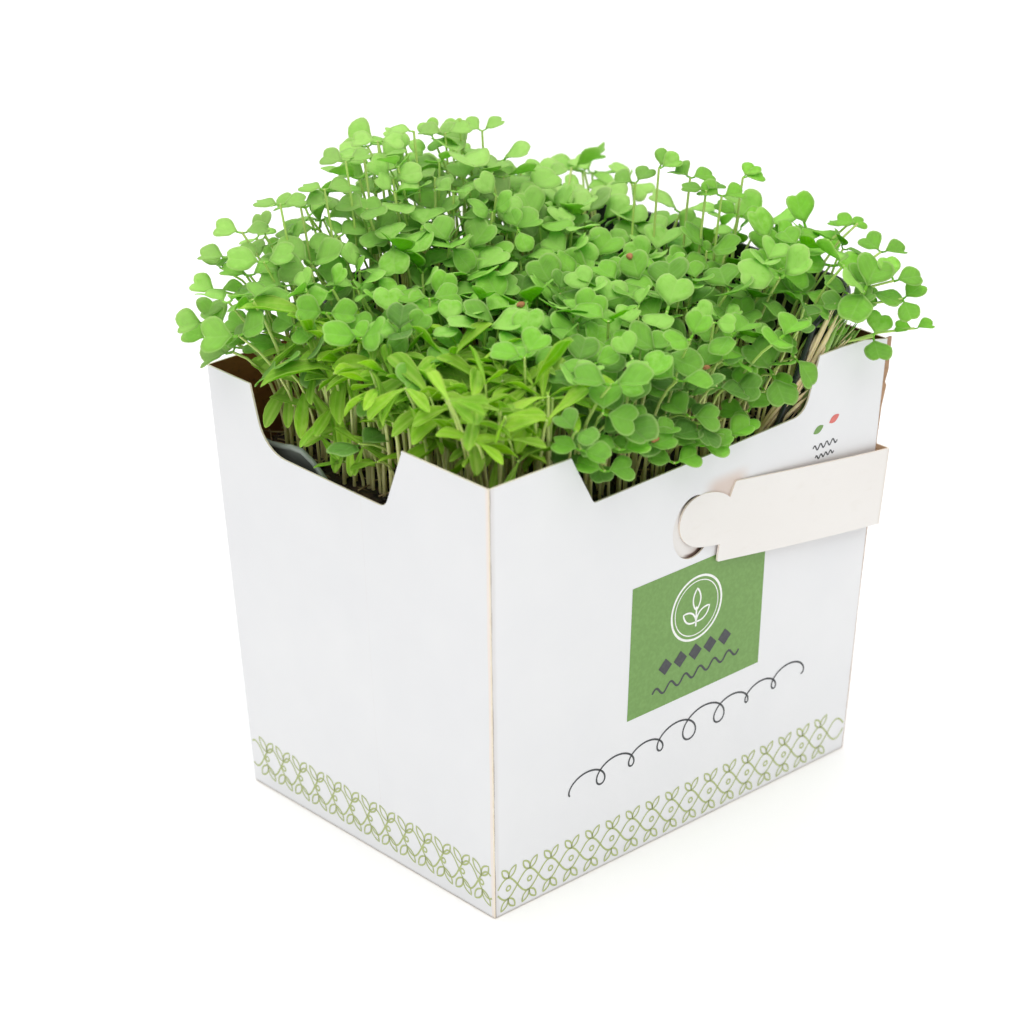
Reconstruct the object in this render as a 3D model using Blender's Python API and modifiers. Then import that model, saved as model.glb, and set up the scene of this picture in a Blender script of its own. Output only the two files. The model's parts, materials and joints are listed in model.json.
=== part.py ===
# Carton of living microgreens: a notched paperboard carton with a locked strap,
# a dark plastic liner, growing medium, and four stands of sprouts rooted in it.
# Metres, +Z up. The origin is the middle of the carton's base, and the wall
# that carries the strap faces -Y.

import math
import random

import bmesh
import bpy
from mathutils import Matrix, Vector
from mathutils.bvhtree import BVHTree

for old in list(bpy.data.objects):
    bpy.data.objects.remove(old, do_unlink=True)

# Carton
CARTON_LENGTH = 0.195        # along X at the rim
CARTON_WIDTH = 0.150         # along Y at the rim
CARTON_HEIGHT = 0.169
WALL_INSET = 0.00725         # each wall's foot stands this far in from its rim
BOARD = 0.0012
CLEARANCE = 0.0003           # gap between pieces that touch

# Slot and strap
SLOT_X = 0.0025
SLOT_Z = 0.125
SLOT_RADIUS = 0.0132
STRAP_WIDTH = 0.0295
STRAP_BOARD = 0.0008
STRAP_SLOPE = math.radians(7.8)
STRAP_FRONT = 0.0815         # from the crease to the shoulder of the tab
STRAP_RETURN = 0.100         # from the crease to the glued end
STRAP_FREE = 0.055           # part of the return that isn't on the wall
CREASE = Vector((0.0978, -0.0758, 0.1101))
SHOULDER_PROUD = 0.0013      # the shoulder's middle surface, off the wall
TAB_RADIUS = 0.0112
TAB_NECK = 0.0090            # half width
TAB_RISE = 0.0019            # the tab sits this far above the strap's middle
TAB_TUCK = 0.0042            # how far the tab's tip is pushed in
TUCK_START = 0.006           # from the shoulder
TUCK_END = 0.020

# Liner and growing medium
LINER_GAP = 0.0040           # from the carton's inner faces
LINER_WALL = 0.0009
LINER_CORNER = 0.022
LINER_LOW = CARTON_HEIGHT - 0.027
LINER_HIGH = CARTON_HEIGHT + 0.019
SOIL_FRONT = CARTON_HEIGHT - 0.0345
SOIL_BACK = CARTON_HEIGHT - 0.018
MAT_THICKNESS = 0.0040
MAT_JOINT = 0.0012           # gap between two stands' mats

# Sprouts
SPACING = 0.0156
STEM_FOOT = 0.0010
STEM_TOP = 0.0009
LEAF_DROP = 0.0009           # leaves leave the stem this far under its top
BLADE = 0.0008
ROUND_LEAF = 0.0134          # length of a seed leaf
ROUND_CORNERS = 8
LANCE_LEAF = 0.0225
LANCE_CORNERS = 6
TRIES = 14                   # layouts tried before a sprout is left out
ROW_PITCH = 0.87             # between rows, as a share of the spacing
ROOT_JITTER = 0.0034
ROOT_LIFT = 0.0010           # a root's lower end, over the mat's underside
OVERHANG = 0.013             # crowns at the edge lean out this far
DRIFT = 0.006                # random lean
SIDE_DROP = 0.026            # crowns along the near walls hang up to this much lower
REACH = 0.095                # sprouts further apart than this can't meet
CANOPY = 0.027               # over the rim
CANOPY_HUMP = 0.038          # more at the back left
CANOPY_RIGHT = 0.014         # more at the right

collection = bpy.data.collections.new("microgreens_carton")
cutters = bpy.data.collections.new("cutters")
bpy.context.scene.collection.children.link(collection)
bpy.context.scene.collection.children.link(cutters)


def smooth(value, low, high):
    """Rise from 0 at low to 1 at high with level ends."""
    part = min(max((value - low) / (high - low), 0.0), 1.0)
    return part * part * (3.0 - 2.0 * part)


def material(name, colour, roughness):
    made = bpy.data.materials.new(name)
    made.use_nodes = True
    shader = made.node_tree.nodes["Principled BSDF"]
    shader.inputs["Base Color"].default_value = (*colour, 1.0)
    shader.inputs["Roughness"].default_value = roughness
    return made


def add_object(name, bm, where=collection, finish=None):
    mesh = bpy.data.meshes.new(name)
    bm.to_mesh(mesh)
    bm.free()
    made = bpy.data.objects.new(name, mesh)
    where.objects.link(made)
    if finish:
        mesh.materials.append(finish)
    else:
        made.hide_render = True
        made.display_type = "WIRE"
    return made


def evaluated_mesh(source):
    """The object's mesh after its modifiers."""
    graph = bpy.context.evaluated_depsgraph_get()
    return bpy.data.meshes.new_from_object(source.evaluated_get(graph))


def apply_modifiers(target):
    finished = evaluated_mesh(target)
    target.modifiers.clear()
    target.data = finished


def wall_at(half_at_rim, z):
    """Outer half size of the tapered carton at height z."""
    return half_at_rim - WALL_INSET * (1.0 - z / CARTON_HEIGHT)


# Carton

def rounded_outline(corners):
    """Points along a polygon of (x, z, radius) corners, with arcs of 5 points."""
    points = []
    count = len(corners)
    for i, (x, z, radius) in enumerate(corners):
        here = Vector((x, z))
        if radius == 0.0:
            points.append(here)
            continue
        before = (Vector(corners[i - 1][:2]) - here).normalized()
        after = (Vector(corners[(i + 1) % count][:2]) - here).normalized()
        half = before.angle(after) / 2.0
        reach = radius / math.tan(half)
        centre = here + (before + after).normalized() * (radius / math.sin(half))
        start = here + before * reach - centre
        turn = start.angle_signed(here + after * reach - centre)
        for step in range(5):
            angle = -turn * step / 4.0
            points.append(centre + Matrix.Rotation(angle, 2) @ start)
    return points


def prism(name, outline, middle, depth, quarter_turn=0, half_turn=False):
    """A cutter: an outline in X and Z, made depth thick about y = middle."""
    bm = bmesh.new()
    front = [bm.verts.new((p.x, middle - depth / 2.0, p.y)) for p in outline]
    face = bm.faces.new(front)
    grown = bmesh.ops.extrude_face_region(bm, geom=[face])
    moved = [g for g in grown["geom"] if isinstance(g, bmesh.types.BMVert)]
    bmesh.ops.translate(bm, verts=moved, vec=(0.0, depth, 0.0))
    turn = Matrix.Rotation(math.radians(90.0 * quarter_turn + 180.0 * half_turn), 4, "Z")
    bmesh.ops.transform(bm, matrix=turn, verts=bm.verts)
    bmesh.ops.recalc_face_normals(bm, faces=bm.faces)
    return add_object(name, bm, cutters)


ABOVE = CARTON_HEIGHT + 0.010

# Corners of the front notch: x, z and the radius of the corner.
FRONT_NOTCH = [
    (-0.0605, ABOVE, 0.0),
    (-0.0605, 0.1690, 0.0),
    (-0.0570, 0.1625, 0.0),
    (-0.0495, 0.1492, 0.0020),
    (0.0540, 0.1516, 0.0080),
    (0.0608, 0.1690, 0.0),
    (0.0608, ABOVE, 0.0),
]

# Corners of the side notch, as the wall is seen from outside.
SIDE_NOTCH = [
    (-0.0500, ABOVE, 0.0),
    (-0.0500, 0.1690, 0.0),
    (-0.0440, 0.1450, 0.0140),
    (0.0215, 0.1448, 0.0050),
    (0.0315, 0.1680, 0.0),
    (0.0315, ABOVE, 0.0),
]

white_board = material("white_board", (0.86, 0.87, 0.88), 0.55)

bm = bmesh.new()
bmesh.ops.create_cube(bm, size=1.0)
for vert in bm.verts:
    top = vert.co.z > 0.0
    inset = 0.0 if top else WALL_INSET
    vert.co.x = math.copysign(CARTON_LENGTH / 2.0 - inset, vert.co.x)
    vert.co.y = math.copysign(CARTON_WIDTH / 2.0 - inset, vert.co.y)
    vert.co.z = CARTON_HEIGHT if top else 0.0
lid = [face for face in bm.faces if face.normal.z > 0.5]
bmesh.ops.delete(bm, geom=lid, context="FACES_ONLY")
carton = add_object("carton", bm, finish=white_board)
wall = carton.modifiers.new("board", "SOLIDIFY")
wall.thickness = BOARD
wall.offset = -1.0
wall.use_even_offset = True

slot_outline = [
    Vector((SLOT_X + SLOT_RADIUS * math.cos(a), SLOT_Z + SLOT_RADIUS * math.sin(a)))
    for a in [math.tau * step / 20 for step in range(20)]
]
front = rounded_outline(FRONT_NOTCH)
side = rounded_outline(SIDE_NOTCH)
HALF_X = CARTON_LENGTH / 2.0
HALF_Y = CARTON_WIDTH / 2.0
NOTCH_DEPTH = 0.012
openings = [
    prism("cut_front_notch", front, -HALF_Y, NOTCH_DEPTH),
    prism("cut_back_notch", front, -HALF_Y, NOTCH_DEPTH, half_turn=True),
    prism("cut_left_notch", side, -HALF_X, NOTCH_DEPTH, quarter_turn=3),
    prism("cut_right_notch", side, -HALF_X, NOTCH_DEPTH, quarter_turn=1),
    prism("cut_slot", slot_outline, -HALF_Y, NOTCH_DEPTH),
]
for cutter in openings:
    cut = carton.modifiers.new(cutter.name, "BOOLEAN")
    cut.operation = "DIFFERENCE"
    cut.object = cutter
apply_modifiers(carton)


# Strap: one band of board with a round tab, creased round the carton's corner

def strap_outline():
    """The unrolled strap: s runs from the crease, w across, tab at -s."""
    half = STRAP_WIDTH / 2.0
    shoulder = -STRAP_FRONT
    reach = math.sqrt(TAB_RADIUS ** 2 - TAB_NECK ** 2)
    centre = shoulder - TAB_RADIUS
    first = math.atan2(TAB_NECK, reach)
    steps = 12
    points = [(STRAP_RETURN, -half), (STRAP_RETURN, half), (shoulder, half)]
    points.append((shoulder, TAB_RISE + TAB_NECK))
    for step in range(steps + 1):
        angle = first + (math.tau - 2.0 * first) * step / steps
        s = centre + TAB_RADIUS * math.cos(angle)
        points.append((s, TAB_RISE + TAB_RADIUS * math.sin(angle)))
    points.append((shoulder, TAB_RISE - TAB_NECK))
    points.append((shoulder, -half))
    return points


def on_strap(s, w):
    """Place a point of the unrolled strap round the corner."""
    across = Vector((math.sin(STRAP_SLOPE), 0.0, math.cos(STRAP_SLOPE)))
    if s <= 0.0:
        leftward = Vector((-math.cos(STRAP_SLOPE), 0.0, math.sin(STRAP_SLOPE)))
        place = CREASE + leftward * -s + across * w
        shoulder_y = -wall_at(HALF_Y, SLOT_Z) - SHOULDER_PROUD
        place.y = CREASE.y + (shoulder_y - CREASE.y) * min(-s / STRAP_FRONT, 1.0)
        place.y += TAB_TUCK * smooth(-s, STRAP_FRONT + TUCK_START, STRAP_FRONT + TUCK_END)
        return place
    lean = WALL_INSET / CARTON_HEIGHT
    flat = Vector((lean, 0.0, 1.0)).normalized()
    gone = smooth(s, 0.0, STRAP_FREE)
    upright = across.lerp(flat, gone).normalized()
    off_wall = STRAP_BOARD / 2.0 + CLEARANCE
    on_wall = wall_at(HALF_X, CREASE.z) + off_wall
    x = CREASE.x + (on_wall - CREASE.x) * gone
    return Vector((x, CREASE.y + s, CREASE.z)) + upright * w


cream_board = material("cream_board", (0.86, 0.82, 0.77), 0.7)

bm = bmesh.new()
bm.faces.new([bm.verts.new((s, w, 0.0)) for s, w in strap_outline()])
bends = [-STRAP_FRONT - TUCK_START - (TUCK_END - TUCK_START) * part / 3.0 for part in (3, 2, 1, 0)]
bends += [STRAP_FREE * part / 4.0 for part in range(5)]
for bend in bends:
    everything = bm.verts[:] + bm.edges[:] + bm.faces[:]
    bmesh.ops.bisect_plane(bm, geom=everything, plane_co=(bend, 0, 0), plane_no=(1, 0, 0))
for vert in bm.verts:
    vert.co = on_strap(vert.co.x, vert.co.y)
bmesh.ops.triangulate(bm, faces=bm.faces)
strap = add_object("strap", bm, finish=cream_board)
thick = strap.modifiers.new("board", "SOLIDIFY")
thick.thickness = STRAP_BOARD
thick.offset = 0.0
thick.use_even_offset = True
apply_modifiers(strap)


# Liner: a thin cup that follows the carton, its rim cut low along the near walls

def rounded_ring(half_x, half_y, radius):
    """Points round a rectangle with round corners, anticlockwise from +X."""
    points = []
    flat_x = half_x - radius
    flat_y = half_y - radius
    centres = [(flat_x, flat_y), (-flat_x, flat_y), (-flat_x, -flat_y), (flat_x, -flat_y)]
    next_starts = [(-flat_x, half_y), (-half_x, -flat_y), (flat_x, -half_y), (half_x, flat_y)]
    for quarter in range(4):
        for step in range(5):
            angle = math.radians(90.0 * quarter + 22.5 * step)
            spoke = Vector((math.cos(angle), math.sin(angle))) * radius
            points.append(Vector(centres[quarter]) + spoke)
        last = points[-1]
        for part in range(1, 6):
            points.append(last.lerp(Vector(next_starts[quarter]), part / 6.0))
    return points


def rim_height(x, y):
    """High along the two far walls, low along the two near ones."""
    along_back = smooth(x, -0.078, -0.050) * smooth(y, 0.020, 0.045)
    along_right = smooth(x, 0.040, 0.066)
    return LINER_LOW + (LINER_HIGH - LINER_LOW) * max(along_back, along_right)


def cup_ring(z, extra):
    """The liner's plan at height z, moved in by extra from the carton's board."""
    inside = BOARD + extra
    half_x = wall_at(HALF_X, z) - inside
    half_y = wall_at(HALF_Y, z) - inside
    return rounded_ring(half_x, half_y, LINER_CORNER - (extra - LINER_GAP))


dark_plastic = material("dark_plastic", (0.022, 0.03, 0.026), 0.3)

bm = bmesh.new()
floor_z = BOARD + CLEARANCE
low_ring = [bm.verts.new((p.x, p.y, floor_z)) for p in cup_ring(floor_z, LINER_GAP)]
high_ring = []
for i, p in enumerate(cup_ring(LINER_LOW, LINER_GAP)):
    z = rim_height(p.x, p.y)
    at_rim = cup_ring(z, LINER_GAP)[i]
    high_ring.append(bm.verts.new((at_rim.x, at_rim.y, z)))
bm.faces.new(low_ring)
for i, vert in enumerate(low_ring):
    j = (i + 1) % len(low_ring)
    bm.faces.new((vert, low_ring[j], high_ring[j], high_ring[i]))
bmesh.ops.recalc_face_normals(bm, faces=bm.faces)
if bm.faces[0].normal.z > 0.0:
    bmesh.ops.reverse_faces(bm, faces=bm.faces)
bmesh.ops.triangulate(bm, faces=bm.faces)
liner = add_object("liner", bm, finish=dark_plastic)
shell = liner.modifiers.new("wall", "SOLIDIFY")
shell.thickness = LINER_WALL
shell.offset = -1.0
shell.use_even_offset = True
apply_modifiers(liner)


# Growing medium: fills the liner, its top a plane that rises towards the back

def soil_height(y):
    part = (y + HALF_Y) / CARTON_WIDTH
    return SOIL_FRONT + (SOIL_BACK - SOIL_FRONT) * part


def filling(name, bottom, lift, finish):
    """A block inside the liner from bottom(y) to the soil's plane plus lift."""
    inset = LINER_GAP + LINER_WALL + CLEARANCE
    bm = bmesh.new()
    rings = []
    for foot in (True, False):
        ring = []
        for p in cup_ring(SOIL_FRONT if not foot else bottom(-HALF_Y), inset):
            z = bottom(p.y) if foot else soil_height(p.y) + lift
            ring.append(bm.verts.new((p.x, p.y, z)))
        rings.append(ring)
    bm.faces.new(rings[0])
    bm.faces.new(rings[1])
    for i in range(len(rings[0])):
        j = (i + 1) % len(rings[0])
        bm.faces.new((rings[0][i], rings[0][j], rings[1][j], rings[1][i]))
    bmesh.ops.recalc_face_normals(bm, faces=bm.faces)
    bmesh.ops.triangulate(bm, faces=bm.faces)
    return add_object(name, bm, finish=finish)


soil_brown = material("soil_brown", (0.07, 0.045, 0.028), 0.95)
filling("soil", lambda y: floor_z + LINER_WALL + CLEARANCE, 0.0, soil_brown)


# Sprouts: a seeded rule places them, and each keeps clear of the others

def crown_height(x, y):
    """Height of the canopy over the rim, tallest at the back left."""
    hump = math.exp(-((x + 0.025) / 0.055) ** 2 - ((y - 0.060) / 0.045) ** 2)
    right = math.exp(-((x - 0.080) / 0.040) ** 2 - ((y + 0.010) / 0.060) ** 2)
    return CARTON_HEIGHT + CANOPY + CANOPY_HUMP * hump + CANOPY_RIGHT * right


def stem(foot, knee, crown):
    """A three-sided tapered stem along a curve from foot to crown."""
    bm = bmesh.new()
    bmesh.ops.create_cone(
        bm, segments=3, radius1=STEM_FOOT, radius2=STEM_TOP, depth=1.0,
        cap_ends=True, cap_tris=True)
    everything = bm.verts[:] + bm.edges[:] + bm.faces[:]
    bmesh.ops.bisect_plane(bm, geom=everything, plane_co=(0, 0, 0), plane_no=(0, 0, 1))
    for vert in bm.verts:
        t = vert.co.z + 0.5
        axis = foot * (1 - t) ** 2 + knee * 2 * t * (1 - t) + crown * t ** 2
        vert.co = axis + Vector((vert.co.x, vert.co.y, 0.0))
    return bm


def blade(outline, corners, length, arch, cup, place):
    """A thin arched leaf: a fan reshaped to outline(angle), then made thick."""
    bm = bmesh.new()
    bmesh.ops.create_circle(bm, cap_ends=True, cap_tris=True, segments=corners, radius=1.0)
    for vert in bm.verts:
        if vert.co.length < 0.5:
            u, v = 0.48, 0.0
        else:
            u, v = outline(math.atan2(vert.co.x, vert.co.y))
        fall = cup * abs(v) - arch * u * u
        vert.co = Vector((u, v, fall)) * length
    bmesh.ops.recalc_face_normals(bm, faces=bm.faces)
    bmesh.ops.solidify(bm, geom=bm.faces[:], thickness=BLADE)
    bmesh.ops.recalc_face_normals(bm, faces=bm.faces)
    bmesh.ops.transform(bm, matrix=place, verts=bm.verts)
    return bm


def round_outline(angle):
    """A broad seed leaf with a notch at its tip, its base near the origin."""
    corner = round(abs(angle) / (math.tau / ROUND_CORNERS))
    u = (0.84, 0.99, 0.58, 0.16, 0.012)[corner]
    v = (0.0, 0.36, 0.60, 0.40, 0.0)[corner]
    return u, math.copysign(v, angle)


def lance_outline(angle):
    """A narrow strap of a leaf with a pointed tip, its base near the origin."""
    return 0.506 + 0.494 * math.cos(angle), 0.085 * math.sin(angle)


def leaf_place(crown, heading, rise, roll):
    """The matrix that sets a leaf on its crown: heading, rise and roll."""
    turn = Matrix.Rotation(heading, 4, "Z") @ Matrix.Rotation(-rise, 4, "Y")
    start = crown - Vector((0.0, 0.0, LEAF_DROP))
    return Matrix.Translation(start) @ turn @ Matrix.Rotation(roll, 4, "X")


def round_sprout(foot, crown, rng):
    """A bare stem with a pair of notched seed leaves."""
    knee = Vector((foot.x, foot.y, foot.z * 0.4 + crown.z * 0.6))
    heading = rng.uniform(0.0, math.tau)
    size = ROUND_LEAF * rng.uniform(0.85, 1.15)
    parts = [stem(foot, knee, crown)]
    for side in (0, 1):
        rise = math.radians(rng.uniform(2.0, 32.0))
        place = leaf_place(crown, heading + math.pi * side, rise, rng.uniform(-0.25, 0.25))
        parts.append(blade(round_outline, ROUND_CORNERS, size, 0.22, 0.12, place))
    return parts


def lance_sprout(foot, crown, rng):
    """A stem with three long narrow leaves set round its top."""
    knee = Vector((foot.x, foot.y, foot.z * 0.4 + crown.z * 0.6))
    heading = rng.uniform(0.0, math.tau)
    parts = [stem(foot, knee, crown)]
    for leaf in range(3):
        size = LANCE_LEAF * rng.uniform(0.8, 1.1)
        rise = math.radians(rng.uniform(10.0, 55.0))
        place = leaf_place(crown, heading + math.tau / 3.0 * leaf, rise, 0.0)
        parts.append(blade(lance_outline, LANCE_CORNERS, size, 0.30, 0.0, place))
    return parts


def tree_of(parts):
    """A search tree over all of a sprout's parts."""
    verts = []
    faces = []
    for part in parts:
        start = len(verts)
        verts += [v.co.copy() for v in part.verts]
        faces += [[start + v.index for v in f.verts] for f in part.faces]
    return BVHTree.FromPolygons(verts, faces)


def tree_of_object(source):
    mesh = source.data
    return BVHTree.FromPolygons(
        [v.co.copy() for v in mesh.vertices], [tuple(p.vertices) for p in mesh.polygons])


# Each stand's patch of the plan: low x, high x, low y, high y.
STANDS = {
    "greens_lance": (-0.100, -0.040, -0.080, 0.030),
    "greens_back": (-0.100, 0.100, 0.030, 0.080),
    "greens_front": (-0.040, 0.100, -0.080, -0.020),
    "greens_middle": (-0.040, 0.100, -0.020, 0.030),
}
ROOM_X = wall_at(HALF_X, SOIL_FRONT) - BOARD - LINER_GAP - 0.006
ROOM_Y = wall_at(HALF_Y, SOIL_FRONT) - BOARD - LINER_GAP - 0.006
ROOM_CORNER = 0.014


def stand_of(x, y):
    for name, (low_x, high_x, low_y, high_y) in STANDS.items():
        if low_x <= x < high_x and low_y <= y < high_y:
            return name


def has_room(x, y):
    """Whether a root at x, y lies inside the round corners of the rooting area."""
    over_x = max(abs(x) - ROOM_X + ROOM_CORNER, 0.0)
    over_y = max(abs(y) - ROOM_Y + ROOM_CORNER, 0.0)
    return math.hypot(over_x, over_y) <= ROOM_CORNER


def root_places(rng):
    """Root points on a loose hexagonal grid inside the liner."""
    rows = int(2.0 * ROOM_Y / (SPACING * ROW_PITCH)) + 1
    for row in range(rows):
        row_y = -ROOM_Y + row * 2.0 * ROOM_Y / (rows - 1)
        columns = int(2.0 * ROOM_X / SPACING) + row % 2
        for column in range(columns):
            x = -ROOM_X + (column + 0.5) * 2.0 * ROOM_X / columns
            x += rng.uniform(-ROOT_JITTER, ROOT_JITTER)
            y = row_y + rng.uniform(-ROOT_JITTER, ROOT_JITTER)
            x = min(max(x, -ROOM_X), ROOM_X)
            y = min(max(y, -ROOM_Y), ROOM_Y)
            if has_room(x, y):
                yield x, y


def grow(rng):
    """Grow every sprout that finds room, in the lists of its stand."""
    fixed = [tree_of_object(carton), tree_of_object(liner), tree_of_object(strap)]
    grown = []
    stands = {name: [] for name in STANDS}
    for x, y in root_places(rng):
        name = stand_of(x, y)
        make = lance_sprout if name == "greens_lance" else round_sprout
        low_x, high_x, low_y, high_y = STANDS[name]
        margin = MAT_JOINT / 2.0 + STEM_FOOT * 1.2
        x = min(max(x, low_x + margin), high_x - margin)
        y = min(max(y, low_y + margin), high_y - margin)
        foot = Vector((x, y, soil_height(y) + CLEARANCE + ROOT_LIFT))
        edge = max(abs(x) / ROOM_X, abs(y) / ROOM_Y)
        outward = Vector((x / ROOM_X, y / ROOM_Y, 0.0)) * OVERHANG * smooth(edge, 0.3, 1.0)
        near_side = max(smooth(-y / ROOM_Y, 0.6, 0.9), smooth(-x / ROOM_X, 0.75, 1.0))
        for attempt in range(TRIES):
            drift = Vector((rng.uniform(-DRIFT, DRIFT), rng.uniform(-DRIFT, DRIFT), 0.0))
            top = crown_height(x, y) + rng.uniform(-0.010, 0.007)
            top -= near_side * rng.uniform(0.0, SIDE_DROP)
            crown = Vector((x, y, top)) + outward + drift
            parts = make(foot, crown, rng)
            tree = tree_of(parts)
            near = [t for t, c in grown if (c - crown).length < REACH]
            if not any(tree.overlap(other) for other in fixed + near):
                grown.append((tree, crown))
                stands[name].append(parts)
                break
            for part in parts:
                part.free()
    return stands


leaf_green = material("leaf_green", (0.23, 0.50, 0.13), 0.45)
lance_green = material("lance_green", (0.17, 0.42, 0.08), 0.45)
stands = grow(random.Random(7))

for name, (low_x, high_x, low_y, high_y) in STANDS.items():
    half_joint = MAT_JOINT / 2.0
    finish = lance_green if name == "greens_lance" else leaf_green
    mat = filling(name, lambda y: soil_height(y) + CLEARANCE, MAT_THICKNESS, finish)
    bm = bmesh.new()
    bmesh.ops.create_cube(bm, size=1.0)
    for vert in bm.verts:
        vert.co.x = high_x - half_joint if vert.co.x > 0 else low_x + half_joint
        vert.co.y = high_y - half_joint if vert.co.y > 0 else low_y + half_joint
        vert.co.z = ABOVE if vert.co.z > 0 else 0.0
    patch = add_object("patch_" + name, bm, cutters)
    keep = mat.modifiers.new("patch", "BOOLEAN")
    keep.operation = "INTERSECT"
    keep.object = patch
    apply_modifiers(mat)
    # The parts of one kind never meet, so each kind is one operand.
    kinds = bpy.data.collections.new("parts_" + name)
    bpy.context.scene.collection.children.link(kinds)
    for kind in range(len(stands[name][0])):
        bm = bmesh.new()
        for sprout in stands[name]:
            piece = bpy.data.meshes.new("piece")
            sprout[kind].to_mesh(piece)
            bm.from_mesh(piece)
            bpy.data.meshes.remove(piece)
        bmesh.ops.triangulate(bm, faces=bm.faces)
        add_object(f"kind_{kind}_{name}", bm, kinds)
    fuse = mat.modifiers.new("fuse", "BOOLEAN")
    fuse.operation = "UNION"
    fuse.operand_type = "COLLECTION"
    fuse.collection = kinds
    fuse.solver = "MANIFOLD"
    apply_modifiers(mat)
    for used in list(kinds.objects):
        bpy.data.objects.remove(used, do_unlink=True)
    bpy.data.collections.remove(kinds)
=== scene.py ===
import json
import math
import random

import bmesh
import bpy
from mathutils import Matrix, Vector, noise
from mathutils.bvhtree import BVHTree

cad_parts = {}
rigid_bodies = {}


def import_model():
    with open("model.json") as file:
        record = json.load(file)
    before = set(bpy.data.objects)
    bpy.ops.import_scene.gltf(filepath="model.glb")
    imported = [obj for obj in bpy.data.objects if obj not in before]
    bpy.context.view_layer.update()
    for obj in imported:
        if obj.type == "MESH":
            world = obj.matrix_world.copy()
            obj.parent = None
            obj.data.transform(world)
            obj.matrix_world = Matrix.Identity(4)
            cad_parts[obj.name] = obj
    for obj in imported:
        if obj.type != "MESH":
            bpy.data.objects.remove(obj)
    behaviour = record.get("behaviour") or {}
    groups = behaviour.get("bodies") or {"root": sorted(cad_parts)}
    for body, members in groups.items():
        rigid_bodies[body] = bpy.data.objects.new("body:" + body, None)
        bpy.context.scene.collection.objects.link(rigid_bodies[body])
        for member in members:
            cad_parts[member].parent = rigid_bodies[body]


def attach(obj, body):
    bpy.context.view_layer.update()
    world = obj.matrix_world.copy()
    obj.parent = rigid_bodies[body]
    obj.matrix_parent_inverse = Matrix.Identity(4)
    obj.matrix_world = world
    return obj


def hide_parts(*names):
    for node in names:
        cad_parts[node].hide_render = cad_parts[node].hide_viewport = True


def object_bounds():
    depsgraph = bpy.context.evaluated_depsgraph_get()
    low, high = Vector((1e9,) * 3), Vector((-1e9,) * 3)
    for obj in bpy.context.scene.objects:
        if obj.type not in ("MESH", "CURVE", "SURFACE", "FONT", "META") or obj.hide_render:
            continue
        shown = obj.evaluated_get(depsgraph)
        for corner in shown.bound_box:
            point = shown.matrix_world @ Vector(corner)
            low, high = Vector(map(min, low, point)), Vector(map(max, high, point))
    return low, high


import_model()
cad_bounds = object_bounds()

# Camera: the photograph looks down on the carton's near corner, with the wall
# that carries the strap on the right. Lens, place and turn were fitted to the
# carton's six visible corners.
CAMERA_PLACE = Vector((-0.7059, -0.7558, 0.5800))
CAMERA_AZIMUTH = math.radians(-42.26)
CAMERA_ELEVATION = math.radians(24.64)
CAMERA_ROLL = math.radians(-0.44)
FOCAL_LENGTH = 108.9
FOCUS_DISTANCE = 1.09        # to the front row of leaves; the back row goes soft
APERTURE = 12.0

backward = Vector((
    math.sin(CAMERA_AZIMUTH) * math.cos(CAMERA_ELEVATION),
    -math.cos(CAMERA_AZIMUTH) * math.cos(CAMERA_ELEVATION),
    math.sin(CAMERA_ELEVATION)))
level = Vector((math.cos(CAMERA_AZIMUTH), math.sin(CAMERA_AZIMUTH), 0.0))
upward = backward.cross(level)
rolled_level = level * math.cos(CAMERA_ROLL) + upward * math.sin(CAMERA_ROLL)
rolled_up = upward * math.cos(CAMERA_ROLL) - level * math.sin(CAMERA_ROLL)
camera_turn = Matrix((rolled_level, rolled_up, backward)).transposed().to_4x4()
camera_data = bpy.data.cameras.new("camera")
camera_data.lens = FOCAL_LENGTH
camera_data.sensor_width = 36.0
camera_data.dof.use_dof = True
camera_data.dof.focus_distance = FOCUS_DISTANCE
camera_data.dof.aperture_fstop = APERTURE
camera = bpy.data.objects.new("camera", camera_data)
camera.matrix_world = Matrix.Translation(CAMERA_PLACE) @ camera_turn
bpy.context.scene.collection.objects.link(camera)
bpy.context.scene.camera = camera


# Floor and light: a white table under an even white surround, with one very
# soft key light from above and a weaker one from behind that shines through
# the leaves.
def plain_material(name, colour, roughness):
    made = bpy.data.materials.new(name)
    made.use_nodes = True
    shader = made.node_tree.nodes["Principled BSDF"]
    shader.inputs["Base Color"].default_value = (*colour, 1.0)
    shader.inputs["Roughness"].default_value = roughness
    return made


def add_light(name, origin, strength, spread_angle, colour=(1.0, 1.0, 1.0)):
    """A far soft light that shines from origin on to the carton."""
    data = bpy.data.lights.new(name, "SUN")
    data.angle = math.radians(spread_angle)
    data.energy = strength
    data.color = colour
    light = bpy.data.objects.new(name, data)
    light.location = origin
    light.rotation_euler = (-Vector(origin)).to_track_quat("-Z", "Y").to_euler()
    bpy.context.scene.collection.objects.link(light)


FLOOR_SIZE = 8.0
bm = bmesh.new()
bmesh.ops.create_grid(bm, x_segments=1, y_segments=1, size=FLOOR_SIZE / 2.0)
floor_mesh = bpy.data.meshes.new("floor")
bm.to_mesh(floor_mesh)
bm.free()
floor_mesh.materials.append(plain_material("floor_white", (0.95, 0.95, 0.95), 0.6))
floor = bpy.data.objects.new("floor", floor_mesh)
bpy.context.scene.collection.objects.link(floor)

world = bpy.data.worlds.new("surround")
world.use_nodes = True
world.node_tree.nodes["Background"].inputs["Color"].default_value = (1.0, 1.0, 1.0, 1.0)
world.node_tree.nodes["Background"].inputs["Strength"].default_value = 0.70
bpy.context.scene.world = world
bpy.context.scene.view_settings.view_transform = "Standard"
add_light("key_light", (-0.26, -0.36, 1.0), 1.40, 50.0, (1.0, 0.985, 0.96))
add_light("back_light", (0.20, 0.70, 0.95), 0.95, 60.0)


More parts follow.
